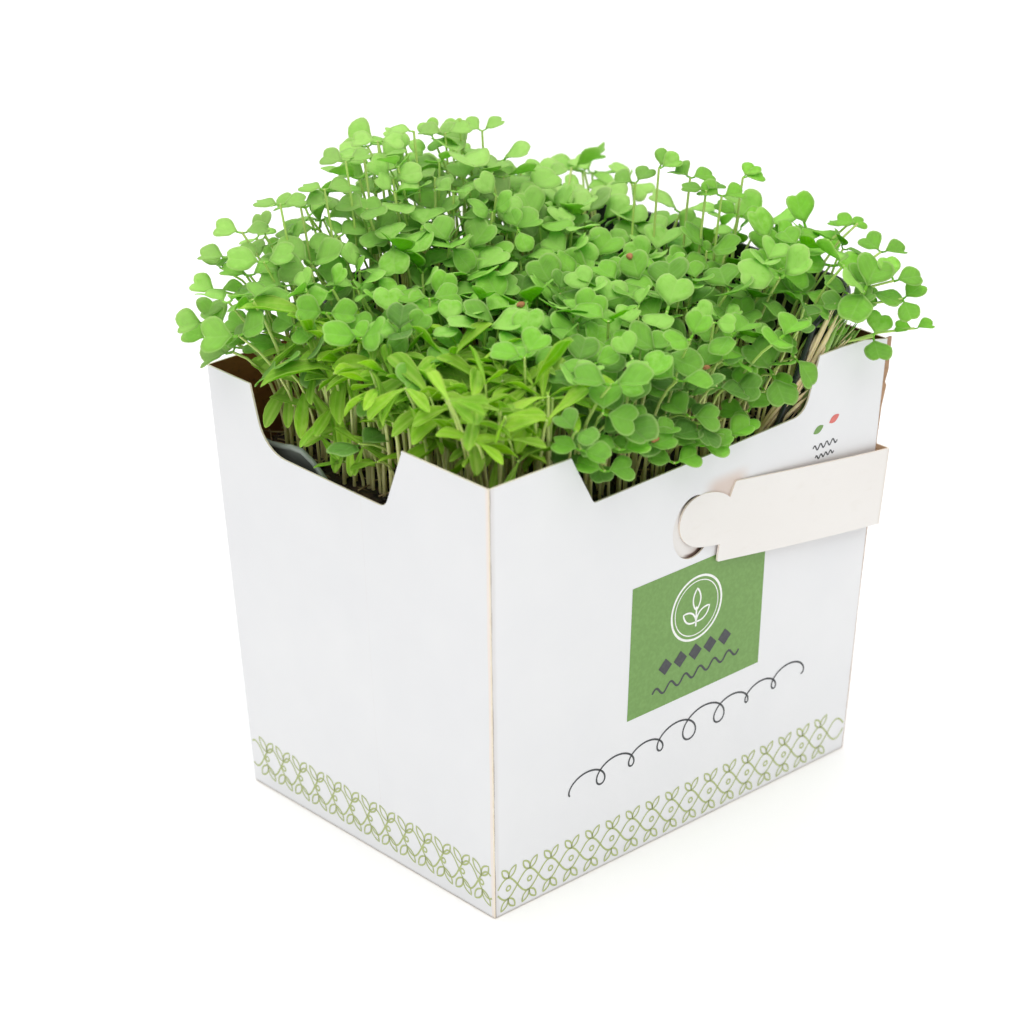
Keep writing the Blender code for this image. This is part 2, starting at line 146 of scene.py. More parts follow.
# Carton: a tapered box folded from white-lined solid board, kraft brown inside,
# with a notch cut in each wall's rim and a round slot in the front wall. It is
# scored, folded and glued, so its corners are tight round creases.
HALF_X = 0.0975
HALF_Y = 0.0750
HEIGHT = 0.169
WALL_INSET = 0.00725
BOARD = 0.0012                # room the liner leaves for the board
SEEN_BOARD = 0.0007
CREASE_RADIUS = 0.0009
GRID_STEP = 0.0125
BOW = 0.0007                 # the long walls belly out by this much
SIDE_BOW = 0.7               # and the short ones by this share of it
STUB_LIFT = 0.0034           # the front wall stands a little taller on the right
SLOT_X = -0.0007
SLOT_Z = 0.1246
SLOT_WIDE = 0.0101            # half the slot's width and half its height
SLOT_TALL = 0.0121
ABOVE = HEIGHT + 0.012


def wall_at(half_at_rim, z):
    """Outer half size of the tapered carton at height z."""
    return half_at_rim - WALL_INSET * (1.0 - z / HEIGHT)


def smooth(value, low, high):
    """Rise from 0 at low to 1 at high with level ends."""
    part = min(max((value - low) / (high - low), 0.0), 1.0)
    return part * part * (3.0 - 2.0 * part)


def settled(point):
    """Where a point of a straight wall really stands: the walls belly a little."""
    x, y, z = point
    up = math.sin(math.pi * min(max(z / HEIGHT, 0.0), 1.0)) ** 0.6
    gap_x = wall_at(HALF_X, z) - abs(x)
    gap_y = wall_at(HALF_Y, z) - abs(y)
    if gap_y < 0.003 and gap_y < gap_x:
        y += math.copysign(BOW * math.cos(math.pi * x / (2.0 * HALF_X)) * up, y)
        if y < 0.0:
            stub = smooth(x, 0.050, 0.062) * (1.0 - smooth(x, 0.080, 0.0975))
            z += STUB_LIFT * stub * smooth(z, 0.148, HEIGHT)
    elif gap_x < 0.003:
        x += math.copysign(BOW * SIDE_BOW * math.cos(math.pi * y / (2.0 * HALF_Y)) * up, x)
    return Vector((x, y, z))


def rounded_outline(corners, arc_steps=8):
    """Points along a polygon of (x, z, radius) corners, its corners made arcs."""
    points = []
    for i, (x, z, radius) in enumerate(corners):
        here = Vector((x, z))
        if radius == 0.0:
            points.append(here)
            continue
        before = (Vector(corners[i - 1][:2]) - here).normalized()
        after = (Vector(corners[(i + 1) % len(corners)][:2]) - here).normalized()
        half = before.angle(after) / 2.0
        reach = radius / math.tan(half)
        centre = here + (before + after).normalized() * (radius / math.sin(half))
        start = here + before * reach - centre
        turn = start.angle_signed(here + after * reach - centre)
        for step in range(arc_steps + 1):
            points.append(centre + Matrix.Rotation(-turn * step / arc_steps, 2) @ start)
    return points


def prism(outline, middle, depth, quarter_turns=0):
    """A cutter: an outline in X and Z, made depth thick about y = middle."""
    bm = bmesh.new()
    face = bm.faces.new([bm.verts.new((p.x, middle - depth / 2.0, p.y)) for p in outline])
    grown = bmesh.ops.extrude_face_region(bm, geom=[face])
    moved = [g for g in grown["geom"] if isinstance(g, bmesh.types.BMVert)]
    bmesh.ops.translate(bm, verts=moved, vec=(0.0, depth, 0.0))
    turn = Matrix.Rotation(math.radians(90.0 * quarter_turns), 4, "Z")
    bmesh.ops.transform(bm, matrix=turn, verts=bm.verts)
    bmesh.ops.recalc_face_normals(bm, faces=bm.faces)
    return new_object("cutter", bm)


def new_object(name, bm, *materials):
    mesh = bpy.data.meshes.new(name)
    bm.to_mesh(mesh)
    bm.free()
    for finish in materials:
        mesh.materials.append(finish)
    made = bpy.data.objects.new(name, mesh)
    bpy.context.scene.collection.objects.link(made)
    return made


def bake_modifiers(target):
    """Replace an object's mesh by what its modifiers make of it."""
    graph = bpy.context.evaluated_depsgraph_get()
    finished = bpy.data.meshes.new_from_object(target.evaluated_get(graph))
    target.modifiers.clear()
    target.data = finished


def crease(bm, place, normal):
    """Part every face that a plane goes through, so that the board can bend there."""
    everything = bm.verts[:] + bm.edges[:] + bm.faces[:]
    bmesh.ops.bisect_plane(bm, geom=everything, plane_co=place, plane_no=normal)


def thicken(target, thickness, offset, **settings):
    """Give a flat sheet its board."""
    board = target.modifiers.new("board", "SOLIDIFY")
    board.thickness = thickness
    board.offset = offset
    for key, value in settings.items():
        setattr(board, key, value)


def smooth_faces(target, degrees=35.0):
    """Shade a piece smooth, but for edges sharper than this."""
    target.data.shade_smooth()
    target.data.set_sharp_from_angle(angle=math.radians(degrees))


def oval(x, z, wide, tall, count):
    """Points round an oval of half width wide and half height tall."""
    angles = [math.tau * step / count for step in range(count)]
    return [(x + wide * math.cos(a), z + tall * math.sin(a)) for a in angles]


def node(tree, kind, inputs=None, **settings):
    """A node with its settings, and inputs by name or place: a value or a socket."""
    made = tree.nodes.new(kind)
    for key, value in settings.items():
        setattr(made, key, value)
    for key, value in (inputs or {}).items():
        socket = made.inputs[key]
        if isinstance(value, bpy.types.NodeSocket):
            tree.links.new(value, socket)
        else:
            socket.default_value = value
    return made


def blend(tree, factor, first, second):
    """A colour mix; factor, first and second are values or sockets."""
    first, second = [colour if isinstance(colour, bpy.types.NodeSocket) else (*colour, 1.0)
                     for colour in (first, second)]
    inputs = {0: factor, 6: first, 7: second}
    return node(tree, "ShaderNodeMix", inputs, data_type="RGBA").outputs[2]


def sum_of(tree, operation, first, second=0.0, clamp=False):
    """A math node on two values or sockets."""
    inputs = {0: first, 1: second}
    return node(tree, "ShaderNodeMath", inputs, operation=operation, use_clamp=clamp).outputs[0]


def times(tree, first, second):
    return sum_of(tree, "MULTIPLY", first, second)


def plus(tree, first, second, clamp=False):
    return sum_of(tree, "ADD", first, second, clamp)


def minus(tree, first, second):
    return sum_of(tree, "SUBTRACT", first, second)


def spread(tree, value, low, high, to_low=0.0, to_high=1.0):
    """Map value from low..high to to_low..to_high, held at the ends."""
    inputs = {0: value, 1: low, 2: high, 3: to_low, 4: to_high}
    return node(tree, "ShaderNodeMapRange", inputs, interpolation_type="SMOOTHSTEP").outputs[0]


def grain_group():
    """The grain that every finish here has, board, plastic, soil and leaf: noise
    on the object's own coordinates, stretched along its axes."""
    tree = bpy.data.node_groups.new("fine_grain", "ShaderNodeTree")
    tree.interface.new_socket("Grain", in_out="OUTPUT", socket_type="NodeSocketFloat")
    for label, kind in (("Stretch", "Vector"), ("Scale", "Float"), ("Detail", "Float"),
                        ("Roughness", "Float")):
        tree.interface.new_socket(label, in_out="INPUT", socket_type="NodeSocket" + kind)
    given = node(tree, "NodeGroupInput").outputs
    place = node(tree, "ShaderNodeTexCoord").outputs["Object"]
    mapped = node(tree, "ShaderNodeMapping", {"Vector": place, "Scale": given["Stretch"]})
    inputs = {key: given[key] for key in ("Scale", "Detail", "Roughness")}
    noise_made = node(tree, "ShaderNodeTexNoise", {"Vector": mapped.outputs[0], **inputs})
    node(tree, "NodeGroupOutput", {"Grain": noise_made.outputs["Fac"]})
    return tree


FINE_GRAIN = grain_group()


def speckle(tree, scale, detail=3.0, stretch=(1.0, 1.0, 1.0), roughness=0.5):
    """The shared grain, placed in one material with its own values."""
    made = tree.nodes.new("ShaderNodeGroup")
    made.node_tree = FINE_GRAIN
    for key, value in (("Stretch", stretch), ("Scale", scale), ("Detail", detail),
                       ("Roughness", roughness)):
        made.inputs[key].default_value = value
    return made.outputs["Grain"]


def start_material(name):
    made = bpy.data.materials.new(name)
    made.use_nodes = True
    return made, made.node_tree


def dress(made, colour, roughness, normal=None, **others):
    """Give a material's surface its colour, roughness and relief, each a value
    or a socket, and any others by their names with _ for a space."""
    shader = made.node_tree.nodes["Principled BSDF"]
    given = {"Base Color": colour, "Roughness": roughness, "Normal": normal}
    given.update({key.replace("_", " "): value for key, value in others.items()})
    for key, value in given.items():
        if isinstance(value, bpy.types.NodeSocket):
            made.node_tree.links.new(value, shader.inputs[key])
        elif value is not None:
            shader.inputs[key].default_value = value
    return made


def bump(tree, height, distance, strength=1.0):
    inputs = {"Height": height, "Distance": distance, "Strength": strength}
    return node(tree, "ShaderNodeBump", inputs).outputs[0]


def axis_values(tree):
    """The object's X, Y and Z as sockets."""
    place = node(tree, "ShaderNodeTexCoord").outputs["Object"]
    return node(tree, "ShaderNodeSeparateXYZ", {0: place}).outputs


def from_corner(tree, axes, x_side):
    """How far a point is along the walls from a near upright corner: positive
    on the front wall, negative on the wall round the corner. x_side is -1 for
    the corner nearest the camera and 1 for the right one."""
    lean = times(tree, axes[2], WALL_INSET / HEIGHT)
    half_x = plus(tree, lean, HALF_X - WALL_INSET)
    half_y = plus(tree, lean, HALF_Y - WALL_INSET)
    over_x = minus(tree, half_x, times(tree, axes[0], float(x_side)))
    over_y = plus(tree, half_y, axes[1])
    return minus(tree, over_x, over_y)


def band(tree, value, low, high, soft, amount):
    """amount between low and high, fading to nothing over soft outside."""
    rise = spread(tree, value, low - soft, low, 0.0, 1.0)
    fall = spread(tree, value, high, high + soft, 1.0, 0.0)
    return times(tree, times(tree, rise, fall), amount)


def white_lined_board():
    """Matt white clay coat with a faint mottle. At the near corner the side
    panel's raw edge and a thin dark joint show, with painted soft shade beside
    the joint; a painted warm shade lies by the strap's upper left corner, and a
    painted contact shadow darkens the foot."""
    made, tree = start_material("white_lined_board")
    axes = axis_values(tree)
    mottle = speckle(tree, 38.0, 4.0)
    base = blend(tree, mottle, (0.752, 0.760, 0.780), (0.800, 0.805, 0.815))
    ragged = times(tree, minus(
        tree, speckle(tree, 260.0, 4.0, (1.0, 1.0, 0.25)), 0.5), 0.0009)
    far_side = spread(tree, axes[1], -0.010, 0.000, 0.0, 1.0)
    place = plus(tree, plus(tree, from_corner(tree, axes, -1), ragged), far_side)
    base = blend(tree, band(tree, place, -0.0013, -0.0002, 0.0004, 0.55), base, (0.88, 0.74, 0.62))
    # Painted soft shade on the front wall beside the corner joint.
    base = blend(tree, band(tree, place, 0.0009, 0.0014, 0.0016, 0.26), base, (0.52, 0.47, 0.44))
    base = blend(tree, band(tree, place, 0.0000, 0.0005, 0.0003, 0.80), base, (0.20, 0.13, 0.10))
    right = plus(tree, plus(tree, from_corner(tree, axes, 1), ragged), far_side)
    base = blend(tree, band(tree, right, -0.0010, 0.0003, 0.0004, 0.75), base, (0.30, 0.17, 0.09))
    # Painted warm shade on the front wall by the strap's upper left corner.
    shade = times(tree, band(tree, axes[0], 0.0110, 0.0195, 0.0090, 0.60),
                   band(tree, axes[2], 0.1300, 0.1365, 0.0060, 1.0))
    shade = times(tree, shade, minus(tree, 1.0, far_side))
    base = blend(tree, shade, base, (0.62, 0.44, 0.34))
    # Painted contact shadow along the foot.
    painted_foot_shadow = spread(tree, axes[2], 0.0002, 0.0016, 0.55, 0.0)
    base = blend(tree, painted_foot_shadow, base, (0.34, 0.32, 0.30))
    gloss = spread(tree, speckle(tree, 90.0, 2.0), 0.3, 0.7, 0.46, 0.60)
    fibre = speckle(tree, 900.0, 3.0)
    wave = speckle(tree, 14.0, 1.0)
    height = plus(tree, times(tree, fibre, 0.012), wave)
    return dress(made, base, gloss, bump(tree, height, 0.0006, 0.35))


def kraft_board(name="kraft_board", light=(0.330, 0.130, 0.042), dark=(0.205, 0.074, 0.022)):
    """Bare brown board: long fibres, darker flecks, no gloss."""
    made, tree = start_material(name)
    fibre = speckle(tree, 420.0, 4.0, (0.35, 0.35, 1.0))
    fleck = spread(tree, speckle(tree, 700.0, 2.0), 0.62, 0.72, 0.0, 0.6)
    base = blend(tree, fibre, dark, light)
    base = blend(tree, fleck, base, (0.10, 0.05, 0.022))
    return dress(made, base, 0.85, bump(tree, fibre, 0.0002, 0.5))


def board_edge(name="board_edge", dark=(0.74, 0.62, 0.45), light=(0.92, 0.87, 0.76)):
    """The raw cut edge: a pale core with browner plies."""
    made, tree = start_material(name)
    plies = speckle(tree, 1600.0, 2.0, (1.0, 1.0, 0.2))
    return dress(made, blend(tree, plies, dark, light), 0.9)


WHITE = white_lined_board()
KRAFT = kraft_board()
EDGE = board_edge()

FRONT_NOTCH = [
    (-0.0605, ABOVE, 0.0),
    (-0.0605, 0.1690, 0.0),
    (-0.0570, 0.1625, 0.0030),
    (-0.0495, 0.1492, 0.0020),
    (0.0540, 0.1516, 0.0080),
    (0.0608, 0.1690, 0.0),
    (0.0608, ABOVE, 0.0),
]
SIDE_NOTCH = [
    (-0.0500, ABOVE, 0.0),
    (-0.0500, 0.1690, 0.0),
    (-0.0440, 0.1450, 0.0140),
    (0.0215, 0.1448, 0.0050),
    (0.0315, 0.1680, 0.0),
    (0.0315, ABOVE, 0.0),
]
CUT_DEPTH = 0.012

bm = bmesh.new()
bmesh.ops.create_cube(bm, size=1.0)
for vert in bm.verts:
    top = vert.co.z > 0.0
    inset = 0.0 if top else WALL_INSET
    vert.co.x = math.copysign(HALF_X - inset, vert.co.x)
    vert.co.y = math.copysign(HALF_Y - inset, vert.co.y)
    vert.co.z = HEIGHT if top else 0.0
lid = [face for face in bm.faces if face.normal.z > 0.5]
bmesh.ops.delete(bm, geom=lid, context="FACES_ONLY")
folds = [edge for edge in bm.edges if not edge.is_boundary]
bmesh.ops.bevel(bm, geom=folds, offset=CREASE_RADIUS, segments=3, affect="EDGES", profile=0.5)
for axis, half in ((0, HALF_X), (1, HALF_Y), (2, HEIGHT)):
    steps = int(2.0 * half / GRID_STEP) if axis < 2 else int(HEIGHT / GRID_STEP)
    for step in range(1, steps):
        place = Vector((0.0, 0.0, 0.0))
        place[axis] = step * HEIGHT / steps if axis == 2 else half * (2.0 * step / steps - 1.0)
        normal = Vector((0.0, 0.0, 0.0))
        normal[axis] = 1.0
        crease(bm, place, normal)
carton = new_object("carton_board", bm, WHITE, KRAFT, EDGE)
thicken(carton, SEEN_BOARD, -1.0, use_even_offset=True)
slot_outline = [Vector(p) for p in oval(SLOT_X, SLOT_Z, SLOT_WIDE, SLOT_TALL, 48)]
front_notch = rounded_outline(FRONT_NOTCH)
side_notch = rounded_outline(SIDE_NOTCH)
cutters = [
    prism(front_notch, -HALF_Y, CUT_DEPTH),
    prism(front_notch, -HALF_Y, CUT_DEPTH, quarter_turns=2),
    prism(side_notch, -HALF_X, CUT_DEPTH, quarter_turns=3),
    prism(side_notch, -HALF_X, CUT_DEPTH, quarter_turns=1),
    prism(slot_outline, -HALF_Y, CUT_DEPTH),
]
for cutter in cutters:
    cut = carton.modifiers.new("cut", "BOOLEAN")
    cut.operation = "DIFFERENCE"
    cut.object = cutter
bake_modifiers(carton)
for cutter in cutters:
    bpy.data.objects.remove(cutter, do_unlink=True)
for face in carton.data.polygons:
    x, y, z = face.center
    depth = min(wall_at(HALF_X, z) - abs(x), wall_at(HALF_Y, z) - abs(y), z)
    face.material_index = 0 if depth < SEEN_BOARD * 0.33 else 1 if depth > SEEN_BOARD * 0.8 else 2
for vert in carton.data.vertices:
    vert.co = settled(vert.co)
smooth_faces(carton)
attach(carton, "root")
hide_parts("carton")


# Corner seam: the raw kraft edge of the glued side panel, which shows as a
# ragged sliver down the right corner and widens towards the rim.
SEAM = [(0.0000, 0.0004), (0.0300, 0.0006), (0.0600, 0.0004), (0.0950, 0.0007), (0.1300, 0.0005),
        (0.1420, 0.0010), (0.1500, 0.0024), (0.1515, 0.0014), (0.1560, 0.0026), (0.1690, 0.0024)]

SEAM_BOARD = 0.0008
SEAM_SET_BACK = 0.0006       # behind the front wall's face


def loft(bm, rings):
    """Join rings of points by quads and close the first and last."""
    rows = [[bm.verts.new(p) for p in ring] for ring in rings]
    for lower, upper in zip(rows, rows[1:]):
        for i in range(len(lower)):
            j = (i + 1) % len(lower)
            bm.faces.new((lower[i], lower[j], upper[j], upper[i]))
    bm.faces.new(rows[0])
    bm.faces.new(rows[-1])


rings = []
for z, wide in SEAM:
    edge_x = wall_at(HALF_X, z)
    near_y = -wall_at(HALF_Y, z) + SEAM_SET_BACK
    far_y = near_y + SEAM_BOARD
    rings.append([(edge_x - SEAM_BOARD, near_y, z), (edge_x + wide, near_y, z),
                  (edge_x + wide, far_y, z), (edge_x - SEAM_BOARD, far_y, z)])
bm = bmesh.new()
loft(bm, rings)
bmesh.ops.recalc_face_normals(bm, faces=bm.faces)
seam_kraft = kraft_board("seam_kraft", (0.52, 0.33, 0.20), (0.30, 0.17, 0.09))
seam = new_object("corner_seam", bm, seam_kraft)
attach(seam, "root")


# Slot flap: the oval of board that the slot's cut frees. It stays joined at
# its left edge, is pushed in behind the strap's tab and is darkened at its
# lower right with painted shade and a painted shadow streak, with a painted
# shadow round its rim where it sinks into the slot.
FLAP_OVERLAP = 1.06
FLAP_PUSH = 0.0030
FLAP_BOARD = 0.0005


def flap_paper():
    """Warm paper with painted shade towards the lower right, ending in a painted
    dark brown shadow streak there and a painted dark shadow round its rim.
    """
    made, tree = start_material("flap_paper")
    x, _, z = axis_values(tree)
    wide = times(tree, minus(tree, x, SLOT_X), 1.0 / SLOT_WIDE)
    tall = times(tree, minus(tree, z, SLOT_Z), 1.0 / SLOT_TALL)
    out = sum_of(tree, "SQRT", plus(tree, sum_of(tree, "POWER", wide, 2.0),
                                      sum_of(tree, "POWER", tall, 2.0)))
    low_right = minus(tree, times(tree, wide, 0.45),
                       times(tree, tall, 0.90))
    base = blend(tree, speckle(tree, 60.0, 3.0), (0.74, 0.72, 0.70), (0.82, 0.80, 0.79))
    # Painted shade towards the lower right, where the flap sinks into the slot.
    there = spread(tree, low_right, 0.55, 0.85)
    soft = times(tree, there, spread(tree, out, 0.62, 0.90, 0.0, 0.50))
    base = blend(tree, soft, base, (0.50, 0.38, 0.32))
    # Painted dark brown shadow streak near the lower right of the rim.
    painted_shadow_streak = times(tree, there, spread(tree, out, 0.84, 0.92))
    base = blend(tree, painted_shadow_streak, base, (0.10, 0.055, 0.040))
    # Painted dark shadow round the rim, in the slot's gap.
    base = blend(tree, spread(tree, out, 0.975, 1.0), base, (0.045, 0.022, 0.015))
    return dress(made, base, 0.8)


bm = bmesh.new()
rings = 8
spokes = 40
middle = bm.verts.new((SLOT_X, 0.0, SLOT_Z))
previous = [middle] * spokes
for ring in range(1, rings + 1):
    share = FLAP_OVERLAP * ring / rings
    row = []
    for spoke in range(spokes):
        angle = math.tau * spoke / spokes
        row.append(bm.verts.new((SLOT_X + SLOT_WIDE * share * math.cos(angle), 0.0,
                                 SLOT_Z + SLOT_TALL * share * math.sin(angle))))
    for spoke in range(spokes):
        after = (spoke + 1) % spokes
        corners = [previous[spoke], row[spoke], row[after], previous[after]]
        bm.faces.new(corners[:3] if ring == 1 else corners)
    previous = row
for vert in bm.verts:
    across = (vert.co.x - SLOT_X) * 0.80 + (vert.co.z - SLOT_Z) * 0.60
    pushed = FLAP_PUSH * smooth(across, -0.6 * SLOT_TALL, 1.2 * SLOT_TALL)
    vert.co.y = -wall_at(HALF_Y, vert.co.z) + SEEN_BOARD + 0.0001 + pushed
    vert.co = settled(vert.co)
bmesh.ops.recalc_face_normals(bm, faces=bm.faces)
if sum(face.normal.y for face in bm.faces) > 0.0:
    bmesh.ops.reverse_faces(bm, faces=bm.faces)
flap = new_object("slot_flap", bm, flap_paper(), KRAFT)
thicken(flap, FLAP_BOARD, -1.0, material_offset=1, material_offset_rim=1)
bake_modifiers(flap)
smooth_faces(flap)
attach(flap, "root")


# Printing: flat inks on the white coat. A green panel with a ring and sprig,
# lozenges and a wavy line, a line of loops under it, a small mark of leaflets
# over ripples, and a border of crossing vines along the two near walls.
INK_LIFT = 0.00005
PANEL = (-0.0295, 0.0375, 0.0570, 0.1098)    # low x, high x, low z, high z
RING_CENTRE = (0.0030, 0.0915)
RING_RADIUS = 0.0125
VINE_LINE = 0.00068
VINE_PITCH = 0.0200
BEAD = 0.0010
LOZENGE = 0.0034


def on_wall(side, along, z, lift):
    """A printed point: side is front or left, along is read on the wall."""
    if side == "front":
        point = Vector((along, -wall_at(HALF_Y, z), z))
        return settled(point) + Vector((0.0, -lift, 0.0))
    point = Vector((-wall_at(HALF_X, z), along, z))
    return settled(point) + Vector((-lift, 0.0, 0.0))


def stroke(bm, side, points, width, lift, closed=False):
    """Lay a flat line of ink through points on a wall."""
    count = len(points)
    rows = []
    for i, (a, z) in enumerate(points):
        before = points[i - 1] if i or closed else points[0]
        after = points[(i + 1) % count] if i < count - 1 or closed else points[-1]
        run = Vector((after[0] - before[0], after[1] - before[1])).normalized()
        across = Vector((-run.y, run.x)) * width / 2.0
        rows.append([bm.verts.new(on_wall(side, a + across.x * s, z + across.y * s, lift))
                     for s in (1, -1)])
    for i in range(count if closed else count - 1):
        j = (i + 1) % count
        bm.faces.new((rows[i][0], rows[i][1], rows[j][1], rows[j][0]))


def almond(base, heading, length, width, steps=12):
    """The outline of a plain pointed leaf."""
    points = []
    for step in range(2 * steps):
        t = step / steps if step <= steps else 2.0 - step / steps
        side = 1.0 if step <= steps else -1.0
        out = side * width / 2.0 * math.sin(math.pi * t) ** 0.8
        along = t * length
        points.append((
            base[0] + along * math.cos(heading) - out * math.sin(heading),
            base[1] + along * math.sin(heading) + out * math.cos(heading)))
    return points


def facing_out(bm, side):
    wanted = Vector((0.0, -1.0, 0.0)) if side == "front" else Vector((-1.0, 0.0, 0.0))
    bm.normal_update()
    bmesh.ops.reverse_faces(bm, faces=[f for f in bm.faces if f.normal.dot(wanted) < 0.0])


def ink(name, colour):
    """Flat ink with a slight mottle where the coat takes it unevenly."""
    made, tree = start_material(name)
    pale = tuple(min(c * 1.12 + 0.01, 1.0) for c in colour)
    base = blend(tree, spread(tree, speckle(tree, 700.0, 3.0), 0.35, 0.75), colour, pale)
    return dress(made, base, 0.5)


def print_piece(name, bm, side, finish):
    facing_out(bm, side)
    piece = new_object(name, bm, finish)
    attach(piece, "root")


PANEL_GREEN = ink("panel_green", (0.150, 0.298, 0.068))
PAPER_WHITE = ink("ink_white", (0.82, 0.84, 0.80))
CHARCOAL = ink("ink_charcoal", (0.040, 0.043, 0.048))
OLIVE = ink("ink_olive", (0.390, 0.450, 0.180))
CORAL = ink("ink_coral", (0.640, 0.150, 0.130))

bm = bmesh.new()
low_x, high_x, low_z, high_z = PANEL
columns, rows = 16, 12
grid = [[bm.verts.new(on_wall("front", low_x + (high_x - low_x) * i / columns,
                              low_z + (high_z - low_z) * j / rows, INK_LIFT))
         for i in range(columns + 1)] for j in range(rows + 1)]
for j in range(rows):
    for i in range(columns):
        bm.faces.new((grid[j][i], grid[j][i + 1], grid[j + 1][i + 1], grid[j + 1][i]))
print_piece("print_panel", bm, "front", PANEL_GREEN)

bm = bmesh.new()
for radius, width in ((RING_RADIUS, 0.0009), (RING_RADIUS - 0.0017, 0.0004)):
    stroke(bm, "front", oval(*RING_CENTRE, radius, radius, 64), width, 2.0 * INK_LIFT, closed=True)
foot = (RING_CENTRE[0], RING_CENTRE[1] - 0.0075)
stroke(bm, "front", [foot, (foot[0], foot[1] + 0.008)], 0.0008, 2.0 * INK_LIFT)
for heading, length in ((90.0, 0.0088), (35.0, 0.0080), (145.0, 0.0080)):
    start = (foot[0], foot[1] + (0.0065 if heading == 90.0 else 0.0020))
    leaf = almond(start, math.radians(heading), length, 0.0038)
    stroke(bm, "front", leaf, 0.0007, 2.0 * INK_LIFT, closed=True)
print_piece("print_sprig", bm, "front", PAPER_WHITE)

bm = bmesh.new()
for place in range(5):
    centre = (-0.0115 + 0.0075 * place, 0.0728 + 0.0004 * place)
    corners = [(LOZENGE, 0.0), (0.0, LOZENGE), (-LOZENGE, 0.0), (0.0, -LOZENGE)]
    bm.faces.new([bm.verts.new(on_wall(
        "front", centre[0] + dx, centre[1] + dz, 2.0 * INK_LIFT)) for dx, dz in corners])
ripple = []
for i in range(81):
    t = i / 80
    rise = 0.003 * t + 0.0016 * math.sin(math.tau * 6.0 * t)
    ripple.append((-0.0175 + 0.0440 * t, 0.0636 + rise))
stroke(bm, "front", ripple, 0.0009, 2.0 * INK_LIFT)
# The flourish under the panel: one pen line of loops, widest in the middle.
loops = []
for i in range(401):
    t = i / 400
    swell = 0.55 + 0.45 * math.sin(math.pi * t) + 0.22 * math.sin(math.tau * 2.3 * t)
    x = -0.0560 + 0.1180 * t - 0.0056 * swell * math.sin(math.tau * 8.0 * t)
    z = 0.0395 + 0.0072 * t - 0.0046 * swell * math.cos(math.tau * 8.0 * t)
    loops.append((x, z))
stroke(bm, "front", loops, 0.00075, INK_LIFT)
print_piece("print_flourish", bm, "front", CHARCOAL)

# A small mark near the right end: two leaflets over two short ripples.
for name, along, heading, finish in (("print_leaflet_left", 0.0648, 200.0, PANEL_GREEN),
                                     ("print_leaflet_right", 0.0678, 20.0, CORAL)):
    bm = bmesh.new()
    leaf = almond((along, 0.1442), math.radians(heading), 0.0056, 0.0029)
    bm.faces.new([bm.verts.new(on_wall("front", a, z, INK_LIFT)) for a, z in leaf])
    print_piece(name, bm, "front", finish)
bm = bmesh.new()
for low, width, size in ((0.1362, 0.0130, 0.0010), (0.1322, 0.0100, 0.0007)):
    line = [(0.0664 + width * (i / 40.0 - 0.5), low + size * math.sin(math.tau * i / 10.0))
            for i in range(41)]
    stroke(bm, "front", line, 0.0006, INK_LIFT)
print_piece("print_ripples", bm, "front", CHARCOAL)

# The border: two vines that cross, a leaf pair at each crest, a bead at each
# crossing; it stands taller on the left wall.
for side, half, height in (("front", HALF_X, 0.0105), ("left", HALF_Y, 0.0130)):
    bm = bmesh.new()
    end = wall_at(half, height) - 0.0015
    steps = int(end * 2.0 / 0.0010)
    swing = height * 0.42
    for phase in (0.0, math.pi):
        vine = []
        for i in range(steps + 1):
            a = -end + 2.0 * end * i / steps
            vine.append((a, height + swing * math.sin(math.tau * a / VINE_PITCH + phase)))
        stroke(bm, side, vine, VINE_LINE, INK_LIFT)
    count = int(2.0 * end / (VINE_PITCH / 2.0))
    for i in range(count):
        a = -end + VINE_PITCH / 4.0 + i * VINE_PITCH / 2.0
        for up in (1.0, -1.0):
            z = height + up * abs(swing * math.sin(math.tau * a / VINE_PITCH))
            for heading in (52.0, 128.0):
                turned = math.radians(heading * up)
                leaf = almond((a, z), turned, height * 0.50, height * 0.22)
                stroke(bm, side, leaf, VINE_LINE, INK_LIFT, closed=True)
        stroke(bm, side, oval(a, height, BEAD, BEAD, 10), VINE_LINE, INK_LIFT, closed=True)
    print_piece("print_vine_" + side, bm, side, OLIVE)


# Strap: a band of uncoated cream board, creased round the right corner. Its
# round tab is tucked into the slot, and its hidden end is glued to the wall.
STRAP_WIDTH = 0.0295
STRAP_BOARD = 0.0008
STRAP_SLOPE = math.radians(7.8)
STRAP_FRONT = 0.0815
STRAP_RETURN = 0.100
STRAP_FREE = 0.055
CREASE = Vector((0.0978, -0.0758, 0.1101))
SHOULDER_PROUD = 0.0013
TAB_MIDDLE = Vector((-0.0945, 0.0031))      # along the strap and across it
TAB_REACH = (0.0118, 0.0150)                # left and right of the middle
TAB_HALF = 0.0101
TAB_TUCK = 0.0012
TUCK_START = 0.010
TUCK_END = 0.024
FOLD_RADIUS = 0.0010
CUT_ROUND = 0.0009           # the shoulder's corners
STRAP_SLACK = 0.0007         # the front run stands off the wall by this much more midway
CLEARANCE = 0.0003           # gap between pieces that touch


def strap_outline():
    """The unrolled strap: s runs from the crease, w across, tab at -s. Its
    left end slants, and the tab has a neck on its upper side only."""
    low, high = -0.0141, 0.0154
    corners = [(STRAP_RETURN, low, CUT_ROUND), (STRAP_RETURN, high, CUT_ROUND)]
    corners += [(-0.0811, high, CUT_ROUND), (-0.0832, TAB_MIDDLE.y + 0.0067, 0.0)]
    for step in range(33):
        angle = math.radians(44.0 + (268.0 - 44.0) * step / 32)
        reach = TAB_REACH[0] if math.cos(angle) < 0.0 else TAB_REACH[1]
        corners.append((TAB_MIDDLE.x + reach * math.cos(angle),
                        TAB_MIDDLE.y + TAB_HALF * math.sin(angle), 0.0))
    corners += [(-0.0858, -0.0075, 0.0), (-0.0860, low, CUT_ROUND)]
    return rounded_outline(corners, 4)


